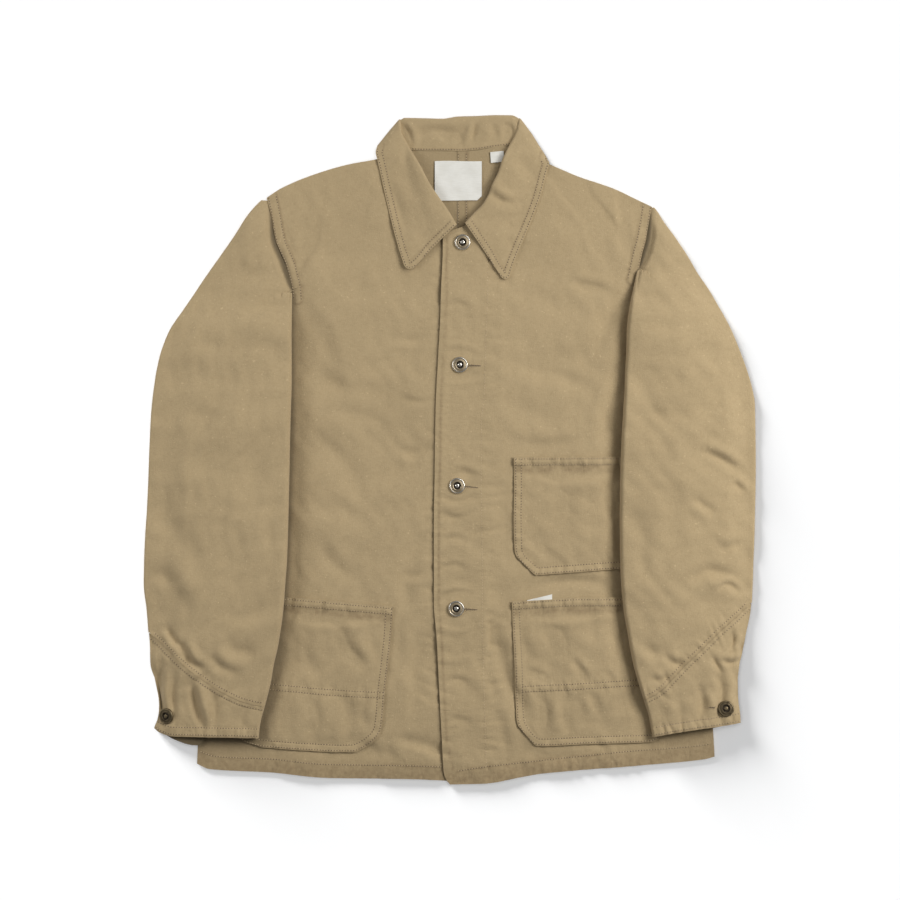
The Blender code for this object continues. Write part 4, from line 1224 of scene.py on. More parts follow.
def sleeveRelief(s, x, y):
    seed = s["seed"]
    z = swells(x, y, seed, (120, 1.0), (52, 0.55), (21, 0.26))
    # sharper folds at the cuff than on the arm
    folds = [(path, wide, depth * (1.3 if path[0][1] < -180 else 0.85), lip)
             for path, wide, depth, lip in s["creases"]]
    z = z + creases(folds, x, y)
    seam = cuffSeamRows(s)
    z = z + bands([(seam, 4.2, 0.5)], x, y) + puckers(seam, x, y, seed + 3, 9, 0.6, 8)
    # flat where it is tucked under the armhole's edge
    edge = np.abs(x - innerEdge(s, y))
    cap = ease(y, s["corner"] - 6, s["corner"] + 3)
    return mix(z, np.minimum(z, 0), cap * (1 - ease(edge, 4, 9))) * mix(1, ease(edge, 1, 18), cap)


def sleeveLevels(s, corner):
    # rows from the shoulder down: level rows, then rows that fan out to the cuff seam
    cap = np.linspace(s["top"], s["corner"] + 1.5, int((s["top"] - s["corner"]) / 2.6))
    armRows = int((s["corner"] - tube["fanStart"]) / 2.8)
    levels = np.linspace(s["corner"] - 1.5, tube["fanStart"], armRows)
    fan = np.linspace(0, 1, 42)[1:]
    base = np.concatenate([cap, levels, np.full(len(fan), tube["fanStart"])])
    slant = np.concatenate([np.zeros(len(cap) + len(levels)), fan])
    return base[:, None], slant[:, None], len(cap)


def strip(s, levelAt, rowCount, parts, shareFrom, shareTo, upper):
    parts = np.array(parts)[None, :]

    def shareOf(y):
        return mix(shareFrom(y), shareTo(y), parts)

    share, y = settle(levelAt, shareOf, (rowCount, parts.shape[1]))
    x = placeAcross(s, share, y)
    z = layUpper(s, share, y) if upper else layUnder(s, x, y)
    return x, y, z


def arc(s, levelAt, rowCount, inner, angles):
    y = levelAt(np.full((rowCount, 1), 1.0 if inner else 0.0)) + np.zeros((1, len(angles)))
    x, z = foldArc(s, inner, np.array(angles)[None, :], y)
    return x, y, z


def joinStrips(strips):
    return [np.concatenate([item[axis] for item in strips], axis=1) for axis in range(3)]


def slitCells(z, y, first, corner):
    # cells where the under layer steps between the surface and the body are left open
    cells = np.zeros((z.shape[0] - 1, z.shape[1] - 1), bool)
    corners = np.stack([z[:-1, :-1], z[:-1, 1:], z[1:, :-1], z[1:, 1:]])
    steep = corners.max(axis=0) - corners.min(axis=0) > 2
    level = (y[:-1, :-1] > tube["armpit"] - 12) & (y[:-1, :-1] < corner + 20)
    cells[:, first:] = (steep & level)[:, first:]
    return cells


def makeSleeve(which):
    s = sleeves[which]
    base, slant, capRows = sleeveLevels(s, s["corner"])
    count = len(base)
    gap = cloth["seamGap"]
    nose = noseAngles()
    isCap = (np.arange(count) < capRows)[:, None]

    def levelAt(share):
        return mix(base, readCurve(s["cuffSeam"], share), slant)

    def topStart(y):
        return seamShare(s, y) + 0.02 / spread(s, y)

    def topEnd(y):
        return np.where(isCap, 1 - gap / spread(s, y), noseShare(s, True, y))

    def innerNose(y):
        return noseShare(s, True, y)

    def underEnd(y):
        return turnShare(s, y) + gap / 2 / spread(s, y)

    columns = tube["across"]
    top = strip(s, levelAt, count, np.linspace(0, 1, columns), topStart, topEnd, True)
    turn = strip(s, levelAt, count, np.linspace(0, 1, tube["turn"]), innerNose, underEnd, False)
    x, y, z = joinStrips([top, arc(s, levelAt, count, True, nose), turn])
    weight = np.concatenate([np.ones(columns), np.linspace(1, 0, tube["nose"]),
                             np.zeros(tube["turn"])])[None, :]
    z = z + sleeveRelief(s, x, y) * weight
    z = np.maximum(z, half)
    missing = slitCells(z, y, columns + tube["nose"], s["corner"])
    missing[:capRows, columns - 1:] = True
    seam = cuffSeamRows(s)
    # painted shade along the cuff seam, and painted shadow in the cap's valley beside the armhole
    shade = seamShade([(seam, 0)], x, y, 3.4) * 0.45 * (weight > 0)
    edge = np.abs(x - innerEdge(s, y))
    valley = capValley(s, 1, y)[1]
    shadow = 0.85 * (1 - ease(edge, valley * 0.55, valley + 3)) * (weight > 0)
    shadow = shadow * ease(y, s["corner"] - 1, s["corner"] + 3) * (1 - ease(y, s["top"] - 9, s["top"]))
    fine = withShadow(crinkles([(seam, 11, 0.6)], x, y, 0.06), shadow)
    upper = gridObject(f"sleeve_{which}_upper", np.stack([x, y, z], axis=-1), sleeveDrill,
                       missing=missing, flip=which == "left", seam=shade, crinkleAndShadow=fine)

    def backStart(y):
        return seamShare(s, y) - 0.02 / spread(s, y)

    def outerNose(y):
        return noseShare(s, False, y)

    def underStop(y):
        stop = turnShare(s, y) - gap / 2 / spread(s, y)
        return np.where(isCap, 1 - gap / spread(s, y), stop)

    columns, across = tube["backTop"], tube["underAcross"]
    top = strip(s, levelAt, count, np.linspace(0, 1, columns), backStart, outerNose, True)
    turn = strip(s, levelAt, count, np.linspace(0, 1, across), outerNose, underStop, False)
    x, y, z = joinStrips([top, arc(s, levelAt, count, False, nose), turn])
    weight = np.concatenate([np.ones(columns), np.linspace(1, 0, tube["nose"]),
                             np.zeros(across)])[None, :]
    z = np.maximum(z + sleeveRelief(s, x, y) * weight, half)
    missing = slitCells(z, y, columns + tube["nose"], s["corner"])
    under = gridObject(f"sleeve_{which}_under", np.stack([x, y, z], axis=-1), sleeveDrill,
                       missing=missing, flip=which == "left")
    return upper, under


def makeCuff(which):
    s = sleeves[which]
    count = tube["cuffRows"]
    part = np.linspace(0, 1, count)[:, None]
    gap = cloth["seamGap"]
    nose = noseAngles()

    def levelAt(share):
        start = readCurve(s["cuffSeam"], share) - gap
        return mix(start, readCurve(s["cuffHem"], share), part)

    def dropAt(share):
        drop = s["peek"] * ease(share, 0.06, 0.40) * (1 - ease(share, 0.44, 0.52))
        return levelAt(share) - drop * part

    def topStart(y):
        return seamShare(s, y) + gap / 2 / spread(s, y)

    def innerNose(y):
        return noseShare(s, True, y)

    def outerNose(y):
        return noseShare(s, False, y)

    def middle(y):
        return turnShare(s, y)

    edge = []
    for share in (0.002, 0.012, 0.024):
        y = levelAt(np.full((count, 1), share))
        x = placeAcross(s, share, y)
        edge.append((x, y, layUnder(s, x, y) + mix(1.9, 2.8, share / 0.024)))
    columns = tube["cuffAcross"]
    top = strip(s, levelAt, count, np.linspace(0, 1, columns), topStart, innerNose, True)
    turn = strip(s, levelAt, count, np.linspace(0, 1, tube["cuffTurn"]), innerNose, middle, False)
    back = strip(s, dropAt, count, np.linspace(1, 0, tube["cuffUnder"])[1:], outerNose, middle, False)
    x, y, z = joinStrips(edge + [top, arc(s, levelAt, count, True, nose), turn, back])
    flat = z.shape[1] - 3 - columns - tube["nose"]
    weight = np.concatenate([[0.15, 0.4, 0.7], np.ones(columns), np.linspace(1, 0, tube["nose"]),
                             np.zeros(flat)])[None, :]
    hem = cuffHemRow(s)
    rows = [(x0, y0 + 5.5) for x0, y0 in hem]
    relief = sleeveRelief(s, x, y) + puckers(rows, x, y, s["seed"] + 6, 9, 0.7, 8)
    relief = relief + bands([(rows, 5.5, 0.3)], x, y)
    z = np.maximum(z + relief * weight, half)
    seam = cuffSeamRows(s)
    # painted shade along the hem row, and painted shadow over the whole under layer of the cuff, seen
    # where it peeks out below
    shade = seamShade([(hem, 0)], x, y, 2.4) * 0.5 * (weight > 0)
    flatStart = z.shape[1] - flat
    underLayerShadow = np.concatenate([np.zeros(flatStart), np.full(flat, 0.85)])[None, :] + 0 * x
    fine = withShadow(crinkles([(seam, 11, 0.55), (rows, 8, 0.45)], x, y, 0.16), underLayerShadow)
    return gridObject(f"cuff_{which}", np.stack([x, y, z], axis=-1), sleeveDrill,
                      flip=which == "left", seam=shade, crinkleAndShadow=fine)


tubes = {}
for which in ("right", "left"):
    upper, under = makeSleeve(which)
    tubes[f"sleeve_{which}_upper"] = finished(upper, "drill", f"sleeve_{which}_upper")
    tubes[f"sleeve_{which}_under"] = finished(under, "drill", f"sleeve_{which}_under")
    tubes[f"cuff_{which}"] = finished(makeCuff(which), "drill", f"cuff_{which}")
print("sleeves and cuffs")


# collar: a leaf on each side, and the stand and fall across the back of the neck

collar = {
    "roll": 4.0,          # height of the rolled edge
    "flat": 45,           # from the rolled edge to where a leaf lies down
    "wall": 1.5,
    "leaves": {
        "right": {
            "roll": [(7, 251), (-3, 268), (-11, 279), (-18, 289), (-25, 300), (-32, 314),
                     (-40, 328), (-48, 342), (-55, 356), (-56, 370)],
            "outer": [(-41, 203), (-46, 202), (-50.5, 205), (-53, 212), (-57, 224), (-62, 242),
                      (-67, 262), (-72, 283), (-77, 306), (-81, 324), (-83, 333), (-81, 340)],
            "front": [(7, 251), (-18, 227), (-41, 203)],
            "top": [(-56, 370), (-68, 356), (-81, 340)],
            "creases": [([(-58, 318), (-44, 296), (-30, 262)], 9, 0.9, 0.5),
                        ([(-70, 312), (-62, 280), (-52, 244)], 7, 0.6, -0.5),
                        ([(-46, 344), (-50, 326), (-44, 306)], 6, 0.8, 0.5),
                        ([(-34, 232), (-30, 240), (-24, 242)], 5, 0.5, 0.5)],
        },
        "left": {
            "roll": [(17, 253), (27, 264), (36, 273), (43, 284), (48, 297), (54, 309), (59, 324),
                     (66, 339), (74, 355), (78, 371)],
            "outer": [(58, 192), (62, 190.5), (66, 193), (69, 202), (76, 221), (85, 242),
                      (93, 261), (100, 280), (105, 298), (109, 314), (111, 320), (107, 328)],
            "front": [(17, 253), (37, 224), (58, 192)],
            "top": [(78, 371), (92, 352), (107, 328)],
            "creases": [([(43, 289), (52, 282), (62, 277), (76, 276)], 5.5, 1.9, 0.75),
                        ([(56, 302), (64, 290), (80, 284)], 6, 1.0, -0.5),
                        ([(50, 260), (66, 254), (84, 262)], 8, 0.9, 0.5),
                        ([(72, 330), (84, 316), (92, 300)], 8, 0.8, -0.5),
                        ([(62, 236), (70, 228), (74, 218)], 5, 0.6, 0.5)],
        },
    },
    "back": [  # neck seam x and y, fold x and y, outer edge x and y, share of the rise
        (-57, 337, -57, 367, -76, 306, 0.1), (-50, 336, -50, 371, -60, 304, 0.5),
        (-30, 335, -29, 370.5, -38, 303, 0.9), (-10, 335, -9, 370, -14, 302, 1.0),
        (10, 334.5, 10, 372.5, 10, 302, 1.0), (30, 336, 30, 373, 34, 302, 1.0),
        (50, 339, 51, 374, 58, 303, 0.9), (66, 341, 68, 374, 76, 304, 0.5),
        (75, 342, 78, 370, 96, 306, 0.1)],
    "backCreases": [([(-54, 366), (-46, 352), (-44, 338)], 3.5, 1.9, 0.7),
                    ([(-38, 352), (-18, 358), (6, 354), (22, 360)], 7, 1.5, 0.6),
                    ([(24, 346), (26, 354), (30, 366)], 3.0, 1.5, 0.8),
                    ([(46, 366), (50, 354), (46, 342)], 4.5, 1.0, -0.6),
                    ([(62, 368), (66, 354), (66, 342)], 5.5, 2.2, 0.7),
                    ([(-8, 338), (-4, 346), (-10, 354)], 3.5, 0.7, 0.5),
                    ([(8, 338), (12, 346), (8, 352)], 3.5, 0.7, -0.5)],
}


def leafEdge(which):
    # the sewn edge of a leaf: the front, then the outer edge
    data = collar["leaves"][which]
    return data["front"] + data["outer"][1:]


def leafBase(x, y):
    covered = ease(x, -60, -20)
    below = mix(underHeight(x, y), topHeight(x, y), covered)
    rest = half + 0.6
    off = ease(y, 326, 346)
    return mix(below, rest, off)


def makeLeaf(which):
    data = collar["leaves"][which]
    rows, columns = 72, 54
    radius = collar["roll"] / 2
    roll = smoothPath(data["roll"], rows)
    plan = fourSided(smoothPath(data["front"], columns), smoothPath(data["top"], columns),
                     roll, smoothPath(data["outer"], rows))
    towards = plan[:, 14] - plan[:, 0]
    towards = towards / np.linalg.norm(towards, axis=1, keepdims=True)
    start = roll + towards * radius
    share = np.linspace(0, 1, columns)[None, :, None]
    plan = plan + (start - roll)[:, None] * (1 - share)
    x, y = plan[..., 0], plan[..., 1]
    away = nearest(data["roll"], x, y)[0]
    edges = leafEdge(which)
    toEdge = nearest(edges, x, y)[0]
    flat = leafBase(x, y) + layer
    lift = collar["roll"] * (1 - ease(away, radius, collar["flat"]))
    seed = 91 if which == "left" else 95
    relief = creases(data["creases"], x, y)
    relief = relief + swell(x, y, 50, 0.4, seed) + swell(x, y, 18, 0.12, seed)
    toFront = nearest(data["front"], x, y)[0]
    welt = mix(0.25, 0.75, ease(toFront, 20, 4))
    relief = relief * ease(toEdge, 0, 14) + welt * (1 - ease(toEdge, 5.5, 8.0))
    relief = relief + puckers(edges, x, y, seed + 2, 9, 0.2, 7)
    topAway = nearest(data["top"], x, y)[0]
    turnDown = np.sqrt(np.clip(topAway / 7, 0, 1))
    z = flat + lift + relief
    z = mix(np.full(z.shape, 2.4), z, turnDown)
    strips = []
    base = z[:, 0] - collar["roll"]
    for angle in np.linspace(-85, 84, 12) * pi / 180:
        place = roll + towards * radius * (1 - cos(angle))
        strips.append(np.column_stack([place, base + radius * (1 + sin(angle))]))
    under = []
    for reach in (1.0, 0.55):
        place = roll + towards * (radius + 7 * reach * ease(np.arange(rows), 0, 8)[:, None])
        under.append(np.column_stack([place, base]))
    points = np.concatenate([np.stack(under + strips, axis=1), np.stack([x, y, z], axis=-1)], axis=1)
    points[..., 2] = np.maximum(points[..., 2], half)
    # painted shade along the inner stitch row
    shade = np.zeros(points.shape[:2])
    shade[:, -columns:] = 0.6 * np.exp(-((toEdge - 7.2) / 1.2) ** 2)
    fine = np.zeros((*points.shape[:2], 3))
    fine[:, -columns:] = crinkles([(edges, 8, 0.5)], x, y, 0.12)
    return gridObject(f"collar_{which}_leaf", points, collarDrill, wall=collar["wall"],
                      flip=which == "right", seam=shade, crinkleAndShadow=fine)


def makeCollarBack():
    table = np.array(collar["back"], float)
    at = np.linspace(0, len(table) - 1, 96)
    steps = np.arange(len(table))
    columns = [readCurve(list(zip(steps, table[:, column])), at) for column in range(7)]
    neckX, neckY, foldX, foldY, edgeX, edgeY, rise = [column[:, None] for column in columns]
    start = backHeight(neckX, neckY)
    top = start + 3.6 * rise
    radius = (top - half) / 2
    share = np.linspace(0, 1, 22)[None, :]
    x = mix(neckX, foldX, share)
    y = mix(neckY, foldY - radius, share)
    z = mix(start, top, ease(share, 0, 1))
    relief = creases(collar["backCreases"], x, y) + swell(x, y, 30, 0.3, 97)
    z = z + relief * np.sin(pi * share) ** 0.5
    z = np.maximum(z, start)
    angle = np.linspace(80, -80, 9)[None, :] * pi / 180
    turnX = foldX + 0 * angle
    turnY = foldY - radius + radius * np.cos(angle)
    turnZ = half + radius * (1 + np.sin(angle))
    under = np.linspace(0, 1, 16)[None, :]
    backX = mix(foldX, edgeX, under)
    backY = mix(foldY - radius, edgeY, under)
    backZ = np.full(backX.shape, half)
    points = np.stack([np.concatenate(parts, axis=1) for parts in
                       ((x, turnX, backX), (y, turnY, backY), (z, turnZ, backZ))], axis=-1)
    # painted shade along the neck seam
    shade = np.zeros(points.shape[:2])
    shade[:, :22] = np.exp(-((share * (foldY - neckY) - 1.2) / 1.1) ** 2)
    return gridObject("collar_back", points, collarDrill, flip=True, seam=shade)


collarDrill = drillFinish("drill_collar", 32)
leaves = {which: makeLeaf(which) for which in ("right", "left")}
for which, piece in leaves.items():
    finished(piece, "drill", f"collar_{which}_leaf")
collarBack = finished(makeCollarBack(), "drill", "collar_back")
print("collar")


# plain label, tag and tab

trims = {
    "neck_label": {"box": (-17, 35.5, 279, 323), "cut": 5.0, "on": "back"},
    "size_tag": {"box": (45, 60, 321, 333), "cut": 0.0, "on": "back"},
    "pocket_tab": {"box": (86, 114, -167.6, -161.6), "cut": 0.0, "on": "front"},
}
label = {
    "colour": (0.74, 0.725, 0.67), "soiled": (0.66, 0.64, 0.575), "rib": (0.60, 0.58, 0.52),
    "wall": 0.9, "cell": 1.1,
}


def labelFinish():
    # white woven label: fine ribs across
    made, tree, shader, place = newFinish("label_white")
    ribs = noise(tree, place, 900, 1, (0.12, 1, 1))
    soil = noise(tree, place, 120, 3)
    body = mixColour(tree, ramp(tree, soil, 0.0, 0.6, 0.35, 0.75), label["colour"], label["soiled"])
    body = mixColour(tree, ramp(tree, ribs, 0.0, 0.35, 0.45, 0.8), body, label["rib"])
    dress(tree, shader, body, ramp(tree, soil, 0.62, 0.8), bumped(tree, ribs, 0.5, 0.0003))
    return made


def makeTrim(name, finish):
    left, right, low, high = trims[name]["box"]
    cut = trims[name]["cut"]
    columns = int((right - left) / label["cell"]) + 2
    count = int((high - low) / label["cell"]) + 3
    part = np.linspace(0, 1, count)
    level = mix(low, high, part)
    inset = np.clip(cut - (level - low), 0, cut)
    x = mix((left + inset)[:, None], (right - inset)[:, None], np.linspace(0, 1, columns)[None, :])
    y = level[:, None] + 0 * x
    if name == "size_tag":
        y = y + (x - left) / (right - left) * 1.5
        x = x + (high - y) * 0.06
    if name == "pocket_tab":
        y = low - 1 + part[:, None] * mix(0.8, high - low + 1.5, (x - left) / (right - left))
    if name == "neck_label":
        y = y + 0.5 * np.sin((x - left) / 9) * (part[:, None] - 0.4)
    if trims[name]["on"] == "back":
        z = backHeight(x, y) + half + 1.0
    else:
        z = frontSurface(x, y, "left") + half + 0.9
    z = z + 0.16 * np.sin(x / 4.1 + y / 7) + 0.12 * np.sin(y / 3.3)
    return gridObject(name, np.stack([x, y, z], axis=-1), finish, wall=label["wall"])


labelWhite = labelFinish()
trimPieces = {name: finished(makeTrim(name, labelWhite), "label", name) for name in trims}
print("label, tag and tab")


# buttons: a thick ring with a dished middle and a post

button = {
    "radius": 8.9, "depth": 1.9, "sides": 56,
    "post": 0.75, "round": 0.2,
    "cuff": {"button_cuff_right": "right", "button_cuff_left": "left"},
}


def brassFinish(name, colour, roughness):
    # old brass: rubbed bright in places and dull in others, with fine pits
    made, tree, shader, place = newFinish(name)
    rub = noise(tree, place, 260, 4)
    pits = noise(tree, place, 1500, 2)
    body = mixColour(tree, ramp(tree, rub, 0.0, 0.85, 0.38, 0.68), colour, shaded(colour, 0.5))
    rough = ramp(tree, rub, roughness, roughness + 0.22, 0.3, 0.75)
    shader.inputs["Metallic"].default_value = 1.0
    dress(tree, shader, body, rough, bumped(tree, pits, 0.25, 0.0002))
    return made


def faceAt(piece, height, reach):
    # selects the flat face in the middle of the top
    mesh = piece.data
    for face in mesh.polygons:
        middle = face.center
        inside = hypot(middle.x, middle.y) < reach * mm
        face.select = inside and abs(middle.z - height * mm) < 0.02 * mm and face.normal.z > 0.9


def makeButton():
    bpy.ops.object.select_all(action='DESELECT')
    b = button
    bpy.ops.mesh.primitive_cylinder_add(vertices=b["sides"], radius=b["radius"] * mm,
                                        depth=b["depth"] * mm, location=(0, 0, b["depth"] * mm / 2))
    piece = bpy.context.active_object
    bpy.ops.object.transform_apply(location=True, rotation=True, scale=True)
    for part in (*piece.data.edges, *piece.data.vertices):
        part.select = False
    faceAt(piece, b["depth"], 1)
    bpy.ops.object.mode_set(mode='EDIT')
    bpy.ops.mesh.select_mode(type='FACE')
    # inwards and up from the outer edge: rim, groove, flat ring, lip, dish and post
    steps = [(0.7, 0.7), (0.7, 0.15), (0.5, -0.55), (0.5, 0.1), (1.7, 0.35), (0.6, -0.2),
             (0.5, -1.25), (1.3, 0.0), (0.2, 1.3), (b["post"], 0.35)]
    for inset, rise in steps:
        bpy.ops.mesh.inset(thickness=inset * mm, depth=0)
        bpy.ops.transform.translate(value=(0, 0, rise * mm))
    bpy.ops.object.mode_set(mode='OBJECT')
    soften = piece.modifiers.new("Round", 'BEVEL')
    soften.width = b["round"] * mm
    soften.segments = 3
    soften.limit_method = 'ANGLE'
    soften.angle_limit = radians(25)
    bpy.ops.object.modifier_apply(modifier=soften.name)
    bpy.ops.object.shade_smooth_by_angle(angle=radians(50))
    return piece


def paintButton(piece, *metals):
    piece.data.materials.clear()
    for metal in metals:
        piece.data.materials.append(metal)
    low = button["depth"] + 0.1
    for face in piece.data.polygons:
        reach = hypot(face.center.x, face.center.y) / mm
        if 2.15 < reach < 4.25 and face.center.z / mm < low + 0.5:
            face.material_index = 2
        elif 4.2 < reach < 7.4 and face.normal.z > 0.1:
            face.material_index = 1


def darkened(pattern, *metals):
    copy = pattern.copy()
    copy.data = pattern.data.copy()
    for index, metal in enumerate(metals):
        copy.data.materials[index] = metal
    return copy


def placeButton(pattern, name, middle, up):
    copy = pattern.copy()
    copy.data = pattern.data.copy()
    copy.name = name
    copy.data.name = name
    bpy.context.scene.collection.objects.link(copy)
    choose(copy)
    copy.rotation_euler = Vector(up).to_track_quat('Z', 'Y').to_euler()
    copy.location = [value * mm for value in middle]
    bpy.ops.object.transform_apply(location=True, rotation=True, scale=True)
    return copy


def surfaceBelow(x, y, tree):
    # height of the top of a finished piece at a point, and the way it faces
    hit, normal, face, reach = tree.ray_cast(Vector((x * mm, y * mm, 0.08)), Vector((0, 0, -1)))
    return (hit.z / mm, normal) if hit else (None, None)


def treeOf(*objects):
    points, faces = [], []
    for item in objects:
        start = len(points)
        points += [tuple(point.co) for point in item.data.vertices]
        faces += [tuple(start + corner for corner in face.vertices) for face in item.data.polygons]
    return BVHTree.FromPolygons(points, faces)


rimMetal = brassFinish("rubbed_brass", (0.80, 0.76, 0.68), 0.22)
ringMetal = brassFinish("old_brass", (0.52, 0.42, 0.28), 0.34)
dishMetal = brassFinish("dark_brass", (0.07, 0.055, 0.04), 0.45)
pattern = makeButton()
paintButton(pattern, rimMetal, ringMetal, dishMetal)
# darker copies of the brass for the cuff buttons
darkCuffMetal = brassFinish("dark_cuff_brass", (0.20, 0.155, 0.09), 0.42)
darkCuffRing = brassFinish("dark_cuff_ring", (0.13, 0.10, 0.06), 0.5)
darkCuffPattern = darkened(pattern, darkCuffMetal, darkCuffRing, dishMetal)
bodyTree = treeOf(panels["front_left"])
for name in frontButtons:
    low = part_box(name)[0]
    x, y = middleOf(name)
    heights = [surfaceBelow(x + 7 * cos(turn), y + 7 * sin(turn), bodyTree)[0]
               for turn in np.linspace(0, 2 * pi, 12)]
    level = max(max(heights) - 0.25, low[2] / mm - 0.4)
    finished(placeButton(pattern, name + "_metal", (x, y, level), (0, 0, 1)), "button_metal", name)
for name, which in button["cuff"].items():
    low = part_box(name)[0]
    x, y = middleOf(name)
    cuffTree = treeOf(tubes["cuff_" + which])
    probes = [(x + dx, y + dy) for dx, dy in ((7, 0), (-7, 0), (0, 7), (0, -7))]
    found = [surfaceBelow(px, py, cuffTree)[0] for px, py in probes]
    found = [low[2] / mm if value is None else value for value in found]
    slopeX = (found[0] - found[1]) / 14
    slopeY = (found[2] - found[3]) / 14
    up = Vector((-slopeX, -slopeY, 1)).normalized()
    level = surfaceBelow(x, y, cuffTree)[0] + 0.5
    copy = placeButton(darkCuffPattern, name + "_metal", (x, y, level), tuple(up))
    finished(copy, "button_metal", name)
bpy.data.objects.remove(pattern)
bpy.data.objects.remove(darkCuffPattern)
print("buttons")


# stitching: every stitch is a short bent thread, and a dark needle hole of painted shade lies between
# two

stitch = {
    "pitch": 3.1, "length": 1.75, "width": 0.8, "rise": 0.34, "sink": 0.2,
    "hole": 1.3, "holeWidth": 1.25, "holeRise": 0.22,
    "slitLength": 15, "slitWidth": 3.0, "slitParts": 7, "whips": 10,
}


def offsetPath(path, away):
    # a path moved sideways, to the left of its direction where away is above 0
    points = smoothPath(path, max(8, int(len(path) * 8))) if len(path) > 2 else smoothPath(path, 8)
    run = np.gradient(points, axis=0)
    run /= np.linalg.norm(run, axis=1, keepdims=True)
    return points + np.stack([-run[:, 1], run[:, 0]], axis=1) * away


def threadFinish(name, colour, deep):
    made, tree, shader, place = newFinish(name)
    vary = noise(tree, place, 240, 2)
    ply = noise(tree, place, 2600, 1)
    body = mixColour(tree, ramp(tree, vary, 0.0, 1.0, 0.35, 0.7), colour, deep)
    dress(tree, shader, body, ramp(tree, vary, 0.6, 0.8), bumped(tree, ply, 0.4, 0.0002))
    return made


def rowStitches(path, seed):
    # threads and the dark holes of painted shade between them along a path: start, middle, end, width,
    # rise, kind
    rng = np.random.default_rng(seed)
    path = np.array(path)
    run = np.concatenate([[0], np.cumsum(np.linalg.norm(np.diff(path, axis=0), axis=1))])
    at = np.arange(0.6, run[-1] - stitch["pitch"], stitch["pitch"])
    at = at + rng.uniform(-0.15, 0.15, len(at))
    found = []
    for start, length, wide, rise, kind in (
            (0, stitch["length"], stitch["width"], stitch["rise"], 0),
            (stitch["length"], stitch["hole"], stitch["holeWidth"], stitch["holeRise"], 1)):
        for place in at:
            steps = place + start + np.array([0, length / 2, length])
            line = np.stack([np.interp(steps, run, path[:, axis]) for axis in (0, 1)], axis=1)
            found.append((*line, wide, rise, kind))
    return found


def buttonhole(x, y, turn, length, seed):
    # a worked slit beside a button: a dark piece of painted shade in the opening, whipped along both
    # sides
    rng = np.random.default_rng(seed)
    ahead = np.array([cos(turn), sin(turn)])
    across = np.array([-ahead[1], ahead[0]])
    start = np.array([x, y])
    found = []
    step = ahead * length / stitch["slitParts"]
    for index in range(stitch["slitParts"]):
        first = start + step * index
        wide = stitch["slitWidth"] * (1 - 0.7 * index / stitch["slitParts"])
        found.append((first, first + step / 2, first + step * 1.1, wide, stitch["holeRise"], 1))
    for part in np.linspace(0.04, 0.98, stitch["whips"]):
        for side in (-1, 1):
            foot = start + ahead * length * (part + rng.uniform(-0.02, 0.02))
            near = across * side * rng.uniform(0.25, 0.55)
            far = across * side * rng.uniform(1.7, 2.7) * (1 - 0.45 * part)
            lean = ahead * rng.uniform(-0.5, 0.5)
            found.append((foot + near, foot + (near + far) / 2, foot + far + lean, 0.8, 0.42, 0))
    return found


def sew(name, stitches, *targets):
    tree = treeOf(*targets)
    points, faces, kinds = [], [], []
    down = Vector((0, 0, -1))
    for first, middle, last, wide, rise, kind in stitches:
        hits = [tree.ray_cast(Vector((x * mm, y * mm, 0.08)), down) for x, y in (first, middle, last)]
        if any(hit[0] is None or hit[1].z < 0.35 for hit in hits):
            continue
        levels = [hit[0].z / mm for hit in hits]
        if max(levels) - min(levels) > 1.2:
            continue
        run = (last - first) / np.linalg.norm(last - first)
        side = np.array([-run[1], run[0]]) * wide / 2
        start = len(points)
        sink = stitch["sink"] if kind == 0 else 0.02
        for index, (place, level) in enumerate(zip((first, middle, last), levels)):
            ends = index != 1
            scale = 0.75 if ends else 1.0
            foot = level + (-sink if ends else rise * 0.45)
            points.append((place[0] + side[0] * scale, place[1] + side[1] * scale, foot))
            points.append((place[0], place[1], foot + rise))
            points.append((place[0] - side[0] * scale, place[1] - side[1] * scale, foot))
            points.append((place[0], place[1], foot - 0.2))
        for ring in (0, 4):
            for corner in range(4):
                after = (corner + 1) % 4
                faces.append((start + ring + corner, start + ring + after,
                              start + ring + 4 + after, start + ring + 4 + corner))
        faces.append((start + 3, start + 2, start + 1, start))
        faces.append((start + 8, start + 9, start + 10, start + 11))
        kinds += [kind] * 10
    mesh = bpy.data.meshes.new(name)
    mesh.from_pydata([tuple(value * mm for value in point) for point in points], [], faces)
    mesh.materials.append(thread)
    mesh.materials.append(needleHoleShade)
    mesh.polygons.foreach_set("material_index", kinds)
    piece = bpy.data.objects.new(name, mesh)
    bpy.context.scene.collection.objects.link(piece)
    choose(piece)
    bpy.ops.object.mode_set(mode='EDIT')
    bpy.ops.mesh.select_all(action='SELECT')
    bpy.ops.mesh.normals_make_consistent(inside=False)
    bpy.ops.object.mode_set(mode='OBJECT')
    bpy.ops.object.shade_smooth_by_angle(angle=radians(70))
    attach(piece, "root")
    print(name, len(points) // 12, "threads and holes")
    return piece


def rowsOf(paths):
    stitches = []
    for index, path in enumerate(paths):
        stitches += rowStitches(path, 300 + index)
    return stitches


def sewRows(name, paths, *targets):
    return sew(name, rowsOf(paths), *targets)


def doubled(path, wide):
    return [offsetPath(path, wide), offsetPath(path, -wide)]


def inset(name, away):
    # a row inside the sewn edge of a pocket
    return offsetPath(outlineOf(name), away)


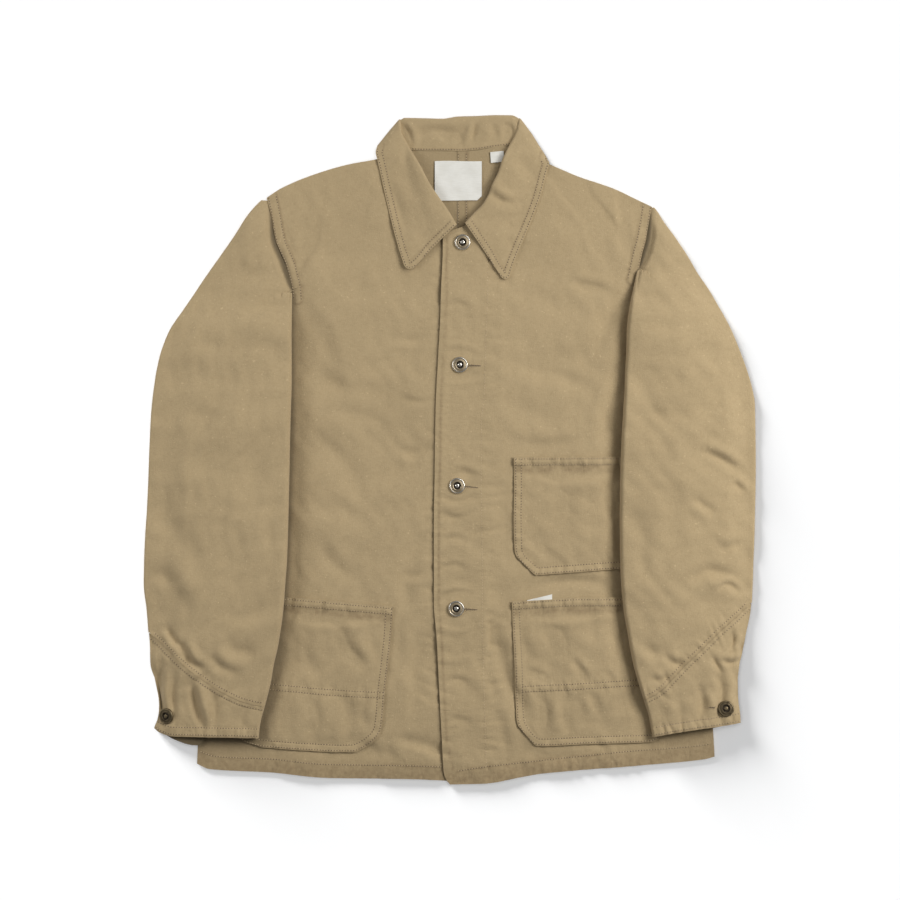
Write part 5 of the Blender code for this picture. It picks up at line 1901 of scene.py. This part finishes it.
thread = threadFinish("thread", (0.53, 0.41, 0.25), (0.44, 0.335, 0.195))
# the needle holes and buttonhole slits are dark pieces of painted shade
needleHoleShade = threadFinish("needle_hole_shade", (0.13, 0.092, 0.05), (0.20, 0.145, 0.08))
for which in ("right", "left"):
    s = sleeves[which]
    front = panels["front_" + which]
    letter = which.capitalize()
    paths = [offsetPath(rows["hem" + letter], 0)] + doubled(rows["armhole" + letter], 4.2)
    stitches = rowsOf(paths)
    if which == "left":
        # the placket's row is drawn tight, so only its thread shows
        stitches += [one for one in rowStitches(offsetPath(rows["placket"], 0), 299) if one[-1] == 0]
    sew("stitches_front_" + which, stitches, front)
    seam = cuffSeamRows(s)
    sewRows(
        f"stitches_sleeve_{which}", [offsetPath(seam, 4.0 * s["inwards"])],
        tubes[f"sleeve_{which}_upper"], tubes[f"sleeve_{which}_under"])
    hem = [(x, y + 2.4) for x, y in cuffHemRow(s)]
    inner = [(x, y + 8.0) for x, y in hem]
    sewRows(
        f"stitches_cuff_{which}", [offsetPath(seam, -4.0 * s["inwards"]), smoothPath(hem, 60),
                                   smoothPath(inner, 60)], tubes["cuff_" + which])
for name in pockets:
    paths = [inset(name, 1.9), inset(name, 8.2)]
    for path, wide in pocketRows[name]:
        paths += doubled(path, wide)
    sewRows("stitches_" + name, paths, pocketPieces[name])
for which, leaf in leaves.items():
    edge = leafEdge(which)
    sign = 1 if which == "right" else -1
    paths = [offsetPath(edge, -1.6 * sign), offsetPath(edge, -7.0 * sign)]
    sewRows(f"stitches_leaf_{which}", paths, leaf)
neckSeam = [(row[0], row[1] + 1.4) for row in collar["back"]]
sewRows("stitches_neck", [smoothPath(neckSeam, 40)], collarBack)
fell = [[(9.3, 250), (9.3, 333)], [(18.3, 250), (18.3, 333)]]
sewRows("stitches_back", [smoothPath(path, 12) for path in fell],
                            panels["back_left"])
holes = []
for index, name in enumerate(("button_front_2", "button_front_3", "button_front_4")):
    x, y = middleOf(name)
    holes += buttonhole(x + 8.2, y - 0.6, radians(-2 - 4 * (index == 1)), stitch["slitLength"],
                        400 + index)
sew("buttonholes_front", holes, panels["front_left"])
x, y = middleOf("button_cuff_left")
holes = buttonhole(x - 8.4, y + 1.0, radians(176), stitch["slitLength"], 410)
sew("buttonhole_cuff", holes, tubes["cuff_left"])
print("stitching")


# the flat cut of every piece of cloth, and what it lies on

sheets = {
    "back_right": (panels["back_right"], ["floor"]),
    "back_left": (panels["back_left"], ["floor"]),
    "front_right": (panels["front_right"], ["back_right_cloth", "back_left_cloth"]),
    "front_left": (panels["front_left"], ["back_left_cloth", "front_right_cloth"]),
    "pocket_chest": (pocketPieces["pocket_chest"], ["front_left_cloth"]),
    "pocket_lower_left": (pocketPieces["pocket_lower_left"], ["front_left_cloth"]),
    "pocket_lower_right": (pocketPieces["pocket_lower_right"], ["front_right_cloth"]),
    "collar_right_leaf": (leaves["right"], ["front_right_cloth", "front_left_cloth"]),
    "collar_left_leaf": (leaves["left"], ["front_left_cloth"]),
    "collar_back": (collarBack, ["floor"]),
    "neck_label": (trimPieces["neck_label"], ["back_right_cloth", "back_left_cloth"]),
    "size_tag": (trimPieces["size_tag"], ["back_left_cloth"]),
}
for which in ("right", "left"):
    front = f"front_{which}_cloth"
    under = f"sleeve_{which}_under"
    sheets[under] = (tubes[under], ["floor", front])
    upper = f"sleeve_{which}_upper"
    sheets[upper] = (tubes[upper], [under + "_cloth", front])
    sheets["cuff_" + which] = (tubes["cuff_" + which], ["floor", front])
for name, (piece, below) in sheets.items():
    wide, tall, area = cuts[name]
    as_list(below)
    print(f"{name}: {wide * 1000:.0f} x {tall * 1000:.0f} mm, {area * 10000:.0f} cm2")


shareLight(clothLights, floorLights, floor)
